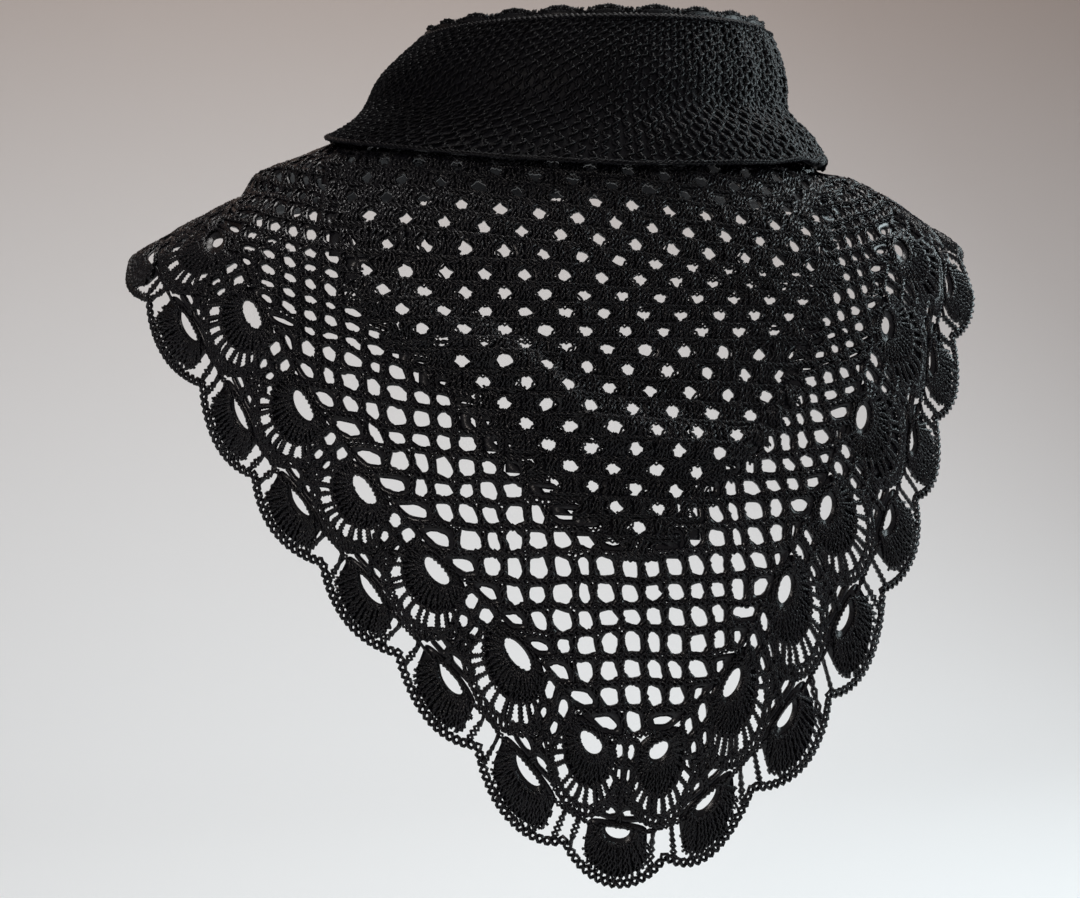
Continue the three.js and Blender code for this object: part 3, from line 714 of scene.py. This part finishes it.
for group, thick, plies, lift in ((dense, 0.58, 2, 0.6), (spokes, 0.78, 3, 0.4)):
    q, w = fan_runs(in_border(group, 3), 7, FAN_CENTRE)
    run = spread(rng.uniform(0, 4, len(q)), rng.uniform(9, 13, len(q)), 7)
    width = 0.4 + 0.5 * u + np.zeros_like(q)
    lift = lift + 0.4 * np.sin(np.pi * u)
    border_strands(fans, q, w, lift, width=width, depth=0.5, radius=thick, pitch=3.8, plies=plies, run=run)
centres = np.arange(0, LAST_FAN + 1)
for radius, reach, squeeze in ARCS:
    samples = max(16, int(radius * reach / 40))
    angle = np.radians(np.linspace(-reach, reach, samples))[None]
    q = centres[:, None] + radius * squeeze * np.sin(angle) / FAN_WIDTH
    w = FAN_CENTRE + radius * np.cos(angle) + np.zeros_like(q)
    q, w = np.clip(q, 0, LAST_FAN), np.maximum(w, 0.8)
    border_strands(fans, q, w, 0.6, width=0.8, depth=0.42, radius=0.62, pitch=4.4, plies=2)
# A chain goes all round each hole, and closes it towards the net.
turn = np.linspace(0, 2 * math.pi, 26)
for across, far, near in ((7.3, 4.3, 3.1), (8.8, 5.6, 4.6)):
    loop = half_round(turn, across, far, near, HOLE_CENTRE)
    q = np.clip(centres[:, None] + loop[None, :, 0] / FAN_WIDTH, 0.01, LAST_FAN - 0.01)
    border_strands(fans, q, loop[None, :, 1] + 0 * q, 0.7, width=0.75, depth=0.42, radius=0.6, pitch=4.2, plies=2)
# Short stitches join the two outer arcs, with a small knot between each two of them.
rays = np.radians(np.linspace(-56, 56, 17))
fringe = np.array([(k, *ray(18.4, a, 0.94), *ray(21.6, a, 0.92)) for k in centres for a in rays])
q, w = fan_runs(in_border(fringe, 3), 5, FAN_CENTRE)
border_strands(fans, q, w, 0.4, width=0.5, depth=0.3, radius=0.6, pitch=4, plies=2)
rays = np.radians(np.linspace(-58, 58, 13))
knots = in_border(np.array([(k, *ray(20.2, a, 0.93)) for k in centres for a in rays]), 1)
turn = np.linspace(0.2, 2 * math.pi - 0.2, 8)
q = knots[:, 0:1] + (knots[:, 1:2] + 1.1 * np.cos(turn)) / FAN_WIDTH
w = FAN_CENTRE + knots[:, 2:3] + 1.2 * np.sin(turn)
border_strands(fans, q, w, 0.7, width=0.1, depth=0.1, radius=0.6, pitch=4, plies=1, braid=True)
fans.piece("fan_stitches", border_cotton, "border_yarn")


# ---- Scallop row -------------------------------------------------------------------------------
# Outer row of the border: between each two fans a dense scallop round a crescent hole, joined to the
# next by loops of chain, and the whole edge trimmed with one more row of chain.

SCALLOP_CENTRE = 27.2
LOOP_WIDTH = 36
SCALLOP_WIDTH = 43.5
# scallop, how large its hole is
SCALLOP_HOLES = np.array([(1, 0.95), (6, 0.85), (9, 0.75), (13, 0.65)])


def outer_edge(q):
    return LOOP_WIDTH + (SCALLOP_WIDTH - LOOP_WIDTH) * np.abs(np.sin(np.pi * q)) ** 0.8


def scallop_rim(turn):
    """The rim of a scallop's cloth, in millimetres beside its hole and levels w."""
    rim = half_round(turn, 11.8, 1, 2.6, SCALLOP_CENTRE)
    far = outer_edge(0.5 + rim[:, 0] / FAN_WIDTH) - 2.2 - SCALLOP_CENTRE
    bulge = SCALLOP_CENTRE + far * (0.15 + 0.85 * np.clip(np.cos(turn), 0, 1) ** 0.36)
    return np.stack([rim[:, 0], np.where(np.cos(turn) > 0.01, bulge, rim[:, 1])], -1)


scallops = Strands()
rng = np.random.default_rng(31)
ring = np.linspace(0, 2 * math.pi, 24, endpoint=False)
for k in np.arange(0.5, LAST_FAN):
    size = rng.uniform(0.92, 1.06) * np.interp(k, SCALLOP_HOLES[:, 0], SCALLOP_HOLES[:, 1])
    hole = half_round(ring, 6.3 * size, rng.uniform(3.2, 4.1) * size, 0.5, SCALLOP_CENTRE)
    fan_ground(scallops, k, hole, scallop_rim(ring))
scallop_ground = scallops.piece("scallop_border", border_cotton, "border_yarn", "scallop_row")

scallops = Strands()
dense = []
for k in np.arange(0.5, LAST_FAN):
    ring = np.radians(np.linspace(-89, 89, 17))
    for angle, (across, level) in zip(ring, scallop_rim(ring)):
        dense.append((k, 6.8 * math.sin(angle), 4.0 * math.cos(angle), across, level + 1.4 - SCALLOP_CENTRE))
dense = np.array(dense)
dense[:, 1:] += rng.normal(0, 0.2, dense[:, 1:].shape)
u = np.linspace(0, 1, 7)
q, w = fan_runs(dense, 7, SCALLOP_CENTRE)
run = spread(rng.uniform(0, 4, len(q)), rng.uniform(9, 13, len(q)), 7)
width = 0.45 + 0.5 * u + np.zeros_like(q)
lift = 0.7 + 0.4 * np.sin(np.pi * u)
border_strands(scallops, q, w, lift, width=width, depth=0.5, radius=0.64, pitch=3.8, plies=2, run=run)
middles = np.arange(0.5, LAST_FAN)[:, None]
turn = np.linspace(0, 2 * math.pi, 28)
loop = half_round(turn, 7.2, 4.6, 1.4, SCALLOP_CENTRE)
q, w = middles + loop[None, :, 0] / FAN_WIDTH, loop[None, :, 1] + 0 * middles
border_strands(scallops, q, w, 0.8, width=0.7, depth=0.4, radius=0.6, pitch=4.2, plies=2)
q = np.linspace(0, LAST_FAN, 800)[None]
border_strands(scallops, q, outer_edge(q) - 0.3, 0.3, width=1.35, depth=0.5, radius=0.82, pitch=5.6, plies=2)
# Loops of chain hang between the scallops, open but for two ties.
ends = np.arange(1, LAST_FAN)[:, None]
across = np.linspace(-0.32, 0.32, 16)[None]
w = 27.4 + 0.9 * (across / 0.32) ** 2 + 0 * ends
border_strands(scallops, ends + across, w, 0.2, width=0.8, depth=0.4, radius=0.64, pitch=4.4, plies=2)
ties = (ends + np.array([[-0.1, 0.08]]) + rng.normal(0, 0.03, (LAST_FAN - 1, 2))).reshape(-1)
lean = rng.normal(0, 0.04, len(ties))
q, w = spread(ties, ties + lean, 7), spread(27.2 + 0 * ties, outer_edge(ties + lean) - 1.2, 7)
border_strands(scallops, q, w, 0.3, width=1.1, depth=0.6, radius=0.8, pitch=4.6, plies=2)
scallops.piece("scallop_stitches", border_cotton, "border_yarn")


# ---- Neck stand --------------------------------------------------------------------------------
# The inner layer of the neck part, worked close in long stitches round and round, so that it stands
# up by itself. Its foot is joined to the triangle, the net and the back.

# shift, lean, half width, depth front, depth back, height at the side, front and back, right side's rise
STAND_RINGS = np.array([
    (-3.6, 0, 92.4, 82.4, 72.3, 1, -8, 0, 0), (0.5, -1, 84.6, 75.4, 64.6, 14, 10, 14, 0),
    (3.5, -4, 77, 68.5, 57.5, 29.5, 28, 29.5, 0), (7, -8, 68.2, 59.2, 50.2, 46.5, 46, 47, 2),
])
FALL_RINGS = np.array([
    (0.5, -2, 89.6, 83.4, 72, 17, 12, 20, 0), (3, -4, 86, 77, 66, 29, 26, 31, 0),
    (5.5, -6, 80.5, 70, 60, 38.5, 38, 41, 1), (8, -8, 74, 64, 55, 47.5, 47, 48, 2),
])
dense_cotton = cotton_material("dense_cotton", BLACK_DYE, (0.005, 0.005, 0.0072), 70, 0.3, 0.008, 0.12)


def ring_point(ring, angle, inset):
    shift, lean, width, front, back, side, low, rear, roll = ring
    c = np.cos(angle)
    depth = np.where(c > 0, front, back) - inset
    height = side + (np.where(c > 0, low, rear) - side) * c * c + roll * np.sin(angle)
    return np.stack([shift + (width - inset) * np.sin(angle), lean - depth * c, height], -1)


def between_rings(rings, angle, level):
    """A smooth surface through rings of points: level 0 is the first ring."""
    angle, level = np.broadcast_arrays(np.asarray(angle, float), np.asarray(level, float))
    points = np.stack([ring(angle) for ring in rings])
    last = len(rings) - 1
    i = np.clip(np.floor(level), 0, last - 1).astype(int)
    v = [np.take_along_axis(points, np.clip(i + k, 0, last)[None, ..., None], 0)[0] for k in (-1, 0, 1, 2)]
    return smooth_run(v, (level - i)[..., None])


def ring_cloth(rings, angle, level, lift):
    a = between_rings(rings, angle + 0.01, level) - between_rings(rings, angle - 0.01, level)
    b = between_rings(rings, angle, level + 0.03) - between_rings(rings, angle, level - 0.03)
    normal = unit(np.cross(a, b))
    return between_rings(rings, angle, level) + normal * np.asarray(lift)[..., None], normal


def stitch_rounds(strands, rings, rounds, stitches, low, high, seed, samples):
    """Rounds of long stitches with a twisted line between them, on a ring of cloth."""
    rng = np.random.default_rng(seed)
    levels = np.linspace(low, high, rounds + 1)
    turn = np.linspace(-np.pi, np.pi, stitches, endpoint=False)
    for number, (a, b) in enumerate(zip(levels[:-1], levels[1:])):
        angle = turn + (number % 2) * np.pi / stitches
        lean = rng.normal(0, 0.36, stitches) * 2 * np.pi / stitches
        path_angle = spread(angle, angle + lean + 0.25 * 2 * np.pi / stitches, samples)
        level = spread(a + 0 * angle, b + rng.normal(0, 0.04, stitches), samples)
        lift = 0.35 * np.sin(np.pi * np.linspace(0, 1, samples)) + rng.uniform(0, 0.35, (stitches, 1))
        path, normal = ring_cloth(rings, path_angle, level, lift)
        run = spread(rng.uniform(0, 4, stitches), rng.uniform(5, 8, stitches), samples)
        strands.lay(path, normal, 0.7, 0.4, 0.62, 5.0, 2, run=run)
    steps = stitches * 2
    angle = np.linspace(-np.pi, np.pi, steps + 1)[None] + np.zeros((rounds + 1, 1))
    wave = 0.03 * np.sin(angle * 9 + levels[:, None] * 7)
    path, normal = ring_cloth(rings, angle, levels[:, None] + wave, 0.55 + 0 * angle)
    strands.lay(path, normal, 0.55, 0.35, 0.5, 4.3, 2)


stand = Strands()
stand_rings = [lambda angle, ring=ring: ring_point(ring, angle, 0.5) for ring in STAND_RINGS]
turn = np.linspace(-np.pi, np.pi, 96, endpoint=False)[None]
level = np.linspace(0, 3, 10)[:, None]
outer = between_rings(stand_rings, turn, level)
stand.wall(outer, outer * (0.987, 0.985, 1), True)
neck_stand = stand.piece("stand_layer", dense_cotton, "dense_yarn", "neck_stand")

stand = Strands()
inside_rings = [lambda angle, ring=ring: ring_point(ring, -angle, 2.4) for ring in STAND_RINGS]
stitch_rounds(stand, inside_rings, 7, 110, 0.05, 2.95, 41, 4)
stand.piece("stand_stitches", dense_cotton, "dense_yarn")


# ---- Neck fall ---------------------------------------------------------------------------------
# The outer layer, turned over at the top and down to a hem on the shoulders. Its strands lean
# together and apart in small meshes, and on the right it is gathered in ripples, with pulled stitches.

HEM_LEVELS = {"left": 3, "right": -9.8, "low": -15, "rear": 0}
HEM_LIFT = {"front": 6.2, "left": 4.6, "right": 6.0, "bow": 2}


def round_point(angle, z, lift):
    def at(t, level):
        b = np.where(np.cos(t) > 0, level_column(level, 3), level_column(level, 4))
        return np.stack([half_width(level, np.sin(t)) * np.sin(t), -b * np.cos(t), level + 0 * t], -1)

    across = at(angle + 0.01, z) - at(angle - 0.01, z)
    up = at(angle, z + 1.5) - at(angle, z - 1.5)
    return at(angle, z) + unit(np.cross(across, up)) * np.asarray(lift)[..., None]


def ripple(angle, share):
    return 1.6 * np.exp(-(((angle - 1.1) / 0.5) ** 2)) * np.sin(22 * angle) * (1 - 0.6 * share)


def hem_point(angle):
    angle = (angle + np.pi) % (2 * np.pi) - np.pi
    turn = np.abs(angle) / (np.pi / 2)
    side = np.where(angle < 0, HEM_LEVELS["left"], HEM_LEVELS["right"])
    early = np.where(angle < 0, 1, 1.5)
    front = HEM_LEVELS["low"] + (side - HEM_LEVELS["low"]) * np.minimum(turn * early, 1) ** 1.4
    rear = side + (HEM_LEVELS["rear"] - side) * np.minimum((turn - 1) * 2.5, 1)
    side_lift = np.where(angle < 0, HEM_LIFT["left"], HEM_LIFT["right"])
    lift = HEM_LIFT["front"] + (side_lift - HEM_LIFT["front"]) * np.sin(angle) ** 2
    return round_point(angle, np.where(turn < 1, front, rear), lift + ripple(angle, 0) - 0.8)


def outwards(angle):
    return np.stack([np.sin(angle), -np.cos(angle), 0 * angle], -1)


def fall_point(ring, share):
    return lambda angle: ring_point(ring, angle, 0.8) + outwards(angle) * ripple(angle, share)[..., None]


first_ring = fall_point(FALL_RINGS[0], 0.25)


def bow_point(angle):
    bow = HEM_LIFT["bow"] * np.sin(angle)
    return hem_point(angle) * 0.55 + first_ring(angle) * 0.45 + outwards(angle) * bow[..., None]


def pulled(angle):
    """How rough the stitches are: 0 all round and up to 1 on the right front."""
    return np.exp(-(((angle - 1.0) / 0.5) ** 2))


upper_rings = [fall_point(ring, share) for ring, share in zip(FALL_RINGS[1:], (0.5, 0.75, 1.0))]
fall_rings = [hem_point, bow_point, first_ring, *upper_rings]
fall = Strands()
turn = np.linspace(-np.pi, np.pi, 168, endpoint=False)[None]
level = np.linspace(0.02, 4.98, 20)[:, None]
outer = between_rings(fall_rings, turn, level)
fall.wall(outer, outer - outwards(turn + 0 * level) * 1.6, True)
neck_fall = fall.piece("turned_over_layer", dense_cotton, "dense_yarn", "neck_fall")

fall = Strands()
rng = np.random.default_rng(51)
COLUMNS, MESHES = 172, 13
turn = np.linspace(-np.pi, np.pi, COLUMNS, endpoint=False)
u = np.linspace(0, 1, 66)
wild = pulled(turn)[:, None]
phase = rng.uniform(0, 2 * np.pi, (COLUMNS, 3))
every_other = np.pi * (np.arange(COLUMNS)[:, None] % 2)
mesh_wave = np.sin(2 * np.pi * MESHES * u + every_other + 0.5 * np.sin(5 * u + phase[:, 0:1]))
stray = np.sin(9 * u + phase[:, 1:2]) + 0.6 * np.sin(17 * u + phase[:, 0:1])
sway = 0.0105 * mesh_wave + (0.002 + 0.008 * wild) * stray
angle = turn[:, None] + sway + 0.03 * wild * (u - 0.5)
lift = 0.3 + 0.25 * mesh_wave + (0.15 + 0.6 * wild) * (0.5 + 0.5 * np.sin(13 * u + phase[:, 2:3]))
path, normal = ring_cloth(fall_rings, angle, 0.03 + 4.9 * u + 0 * angle, lift)
run = 70 * u + 5 * rng.uniform(0, 1, (COLUMNS, 1))
fall.lay(path, normal, 0.7 + 0.15 * wild + 0 * angle, 0.45, 0.6, 5.0, 2, run=run)
angle = np.linspace(-np.pi, np.pi, 361)[None] + np.zeros((3, 1))
path, normal = ring_cloth(fall_rings, angle, np.array([[0.02], [0.09], [4.9]]) + 0 * angle, 0.8 + 0 * angle)
fall.lay(path, normal, 0.6, 0.4, 0.62, 4.3, 2)
fall.piece("fall_stitches", dense_cotton, "dense_yarn")


# ---- Neck edging -------------------------------------------------------------------------------
# A row of small shells along the top edge, seven stitches to a shell, that holds both layers together.

SHELLS = 23
rng = np.random.default_rng(61)
edging_cotton = cotton_material("edging_cotton", BLACK_DYE, (0.006, 0.006, 0.008), 60, 0.3, 0.01, 0.16)
top = FALL_RINGS[3]


def edge_point(angle, height, inset):
    return ring_point(top, angle, inset) + np.stack([0 * angle, 0 * angle, height + 0 * angle], -1)


shell_turn = 2 * math.pi / SHELLS
rays = np.array([(shell * shell_turn, (j - 3) / 3) for shell in range(SHELLS) for j in range(7)])
u = np.linspace(0, 1, 6)
opened = (0.12 + 0.3 * u) * rays[:, 1:2] * shell_turn
angle = rays[:, 0:1] + opened + rng.normal(0, 0.004, (len(rays), 1)) + shell_turn / 2 - math.pi
height = 0.2 + (3.6 - 1.5 * rays[:, 1:2] ** 2) * u
path = edge_point(angle, height, 3.2 + 0 * angle)
normal = outwards(angle)
edging = Strands()
run = spread(rng.uniform(0, 4, len(angle)), rng.uniform(5, 8, len(angle)), 6)
edging.lay(path, normal, 0.6, 0.9, 0.68, 4.0, 2, run=run)
edging.piece("shell_stitches", edging_cotton, "edging_yarn")

edging = Strands()
angle = np.linspace(-math.pi, math.pi, SHELLS * 12, endpoint=False)[None]
shell = np.abs(np.sin(SHELLS * angle / 2))
lobe = np.array([[0.0], [0.5], [1.0]]) * (1.1 + 2.6 * shell**0.7)
edging.wall(edge_point(angle + 0 * lobe, lobe - 0.4, 2.2), edge_point(angle + 0 * lobe, lobe - 0.4, 4.4), True)
angle = np.linspace(-math.pi, math.pi, SHELLS * 18 + 1)[None]
shell = np.abs(np.sin(SHELLS * angle / 2))
normal = outwards(angle)
edging.lay(edge_point(angle, 1.0 + 3.2 * shell**0.8, 3.2), normal, 0.8, 0.8, 0.6, 4.2, 3, braid=True)
for inset in (1.4, 5.6):
    edging.lay(edge_point(angle, 0.3, inset), normal, 0.8, 0.5, 0.6, 4.2, 2)
neck_edging = edging.piece("shell_edging", edging_cotton, "edging_yarn", "neck_edging")


# ---- Back ----------------------------------------------------------------------------------------
# The plain way round the back of the neck, from one shoulder to the other, in close rows of the same
# stitches with a chain edge.

back = Strands()
BACK_TOP = 4


def back_low(share):
    return -38 - 9 * share + 31 * np.sin(np.pi * np.clip(share, 0, 1)) ** 0.6


def back_cloth(share, depth, lift):
    """Share runs from the right shoulder to the left, depth from the top to the low edge."""
    angle = np.pi / 2 + 0.004 + share * (np.pi - 0.008)
    z = BACK_TOP + (back_low(share) - BACK_TOP) * depth
    point = round_point(angle, z, 0 * angle + lift)
    return point, unit(round_point(angle, z, 1 + 0 * angle) - round_point(angle, z, 0 * angle))


share, depth = np.meshgrid(np.linspace(0, 1, 90), np.linspace(1, 0.01, 9))
back.wall(back_cloth(share, depth, 0.5)[0], back_cloth(share, depth, -0.6)[0], False)
back_ground = back.piece("back_yoke", dense_cotton, "dense_yarn", "back_panel")

back = Strands()
rng = np.random.default_rng(71)
BACK_ROWS, BACK_STITCHES = 6, 120
for number in range(BACK_ROWS):
    share = (np.arange(BACK_STITCHES) + 0.5 * (number % 2) + 0.25) / BACK_STITCHES
    share_run = spread(share, share + 0.002, 4)
    depth = spread(number / BACK_ROWS + 0 * share, (number + 1) / BACK_ROWS + 0 * share, 4)
    path, normal = back_cloth(share_run, depth, 0.7 + 0.3 * np.sin(np.pi * np.linspace(0, 1, 4)) + 0 * depth)
    run = spread(rng.uniform(0, 4, BACK_STITCHES), rng.uniform(5, 8, BACK_STITCHES), 4)
    back.lay(path, normal, 0.75, 0.4, 0.62, 5.0, 2, run=run)
share = np.linspace(0, 1, 260)[None] + np.zeros((BACK_ROWS + 1, 1))
depth = (np.arange(BACK_ROWS + 1) / BACK_ROWS)[:, None] + 0 * share
path, normal = back_cloth(share, depth, 0.8 + 0 * share)
back.lay(path, normal, 0.75, 0.4, 0.52, 4.3, 2)
back.piece("back_stitches", dense_cotton, "dense_yarn")


# ---- Floor, light and camera -----------------------------------------------------------------------
# A sweep of paper well below the collar, pale and cool on the floor and painted darker and browner towards the top
# as painted shade, a large soft light from the right, a small weak one from the left and one on the paper, and the
# camera at the photograph's angle.

FLOOR_LEVEL = -0.62
BEND_START, BEND_RADIUS = 1.2, 1.4
bend = np.radians(np.arange(4, 90, 4))
profile = [(-9.0, FLOOR_LEVEL), (BEND_START, FLOOR_LEVEL)]
profile += [(BEND_START + BEND_RADIUS * math.sin(a), FLOOR_LEVEL + BEND_RADIUS * (1 - math.cos(a))) for a in bend]
profile += [(BEND_START + BEND_RADIUS, 6.0)]
sweep_mesh = bpy.data.meshes.new("paper_sweep")
corners = [(x, y, z) for y, z in profile for x in (-12, 12)]
sweep_mesh.from_pydata(corners, [], [(2 * i, 2 * i + 1, 2 * i + 3, 2 * i + 2) for i in range(len(profile) - 1)])
sweep_mesh.polygons.foreach_set("use_smooth", [True] * (len(profile) - 1))
sweep_mesh.update()
sweep = bpy.data.objects.new("paper_sweep", sweep_mesh)
bpy.context.scene.collection.objects.link(sweep)
paper = bpy.data.materials.new("pale_paper")
paper.use_nodes = True
nodes, links = paper.node_tree.nodes, paper.node_tree.links
paper_shader = nodes["Principled BSDF"]
paper_place = nodes.new("ShaderNodeTexCoord")
paper_split = nodes.new("ShaderNodeSeparateXYZ")
# Painted light and shade: the paper's colour runs by height from pale and cool on the floor to dark and warm at the
# top.
paper_shade_range = nodes.new("ShaderNodeMapRange")
paper_shade_range.inputs["From Min"].default_value = -0.6
paper_shade_range.inputs["From Max"].default_value = 0.95
paper_shade_mix = nodes.new("ShaderNodeMix")
paper_shade_mix.data_type = "RGBA"
paper_shade_mix.inputs["A"].default_value = (0.84, 0.86, 0.88, 1)
paper_shade_mix.inputs["B"].default_value = (0.33, 0.243, 0.2, 1)
links.new(paper_place.outputs["Object"], paper_split.inputs[0])
links.new(paper_split.outputs["Z"], paper_shade_range.inputs["Value"])
links.new(paper_shade_range.outputs[0], paper_shade_mix.inputs["Factor"])
links.new(paper_shade_mix.outputs["Result"], paper_shader.inputs["Base Color"])
paper_shader.inputs["Roughness"].default_value = 0.9
sweep.data.materials.append(paper)

world = bpy.data.worlds.new("soft_room")
world.use_nodes = True
world.node_tree.nodes["Background"].inputs["Color"].default_value = (0.84, 0.8, 0.79, 1)
world.node_tree.nodes["Background"].inputs["Strength"].default_value = 0.32
bpy.context.scene.world = world


def soft_light(name, place, aim, size, power, colour):
    light = bpy.data.lights.new(name, "AREA")
    light.shape = "DISK"
    light.size = size
    light.energy = power
    light.color = colour
    obj = bpy.data.objects.new(name, light)
    obj.visible_camera = False
    obj.location = place
    direction = obj.location - type(obj.location)(aim)
    obj.rotation_euler = direction.to_track_quat("Z", "Y").to_euler()
    bpy.context.scene.collection.objects.link(obj)


soft_light("window_right", (1.35, 0.15, 0.7), (0, 0, -0.08), 1.1, 20, (0.82, 0.96, 1.0))
soft_light("fill_left", (-1.0, -1.6, 0.9), (0, 0, -0.12), 0.35, 10, (1.0, 0.91, 0.85))
soft_light("paper_light", (0.3, 0.5, 2.0), (0, 1.6, -0.3), 1.2, 34, (1.0, 0.98, 0.96))

AZIMUTH, ELEVATION = math.radians(-12), math.radians(4)
TARGET = np.array([-14, 0, -125]) / 1000
DISTANCE = 0.75
MM_PER_PIXEL = 0.43
PICTURE_WIDTH, SENSOR_WIDTH = 1080, 36
level_way = math.cos(ELEVATION)
back_way = np.array([math.sin(AZIMUTH) * level_way, -math.cos(AZIMUTH) * level_way, math.sin(ELEVATION)])
camera_data = bpy.data.cameras.new("camera")
camera_data.sensor_width = SENSOR_WIDTH
camera_data.lens = DISTANCE * 1000 / MM_PER_PIXEL * SENSOR_WIDTH / PICTURE_WIDTH
camera = bpy.data.objects.new("camera", camera_data)
camera.location = TARGET + back_way * DISTANCE
camera.rotation_euler = (math.pi / 2 - ELEVATION, 0, AZIMUTH)
bpy.context.scene.collection.objects.link(camera)
bpy.context.scene.camera = camera
bpy.context.scene.view_settings.view_transform = "Standard"
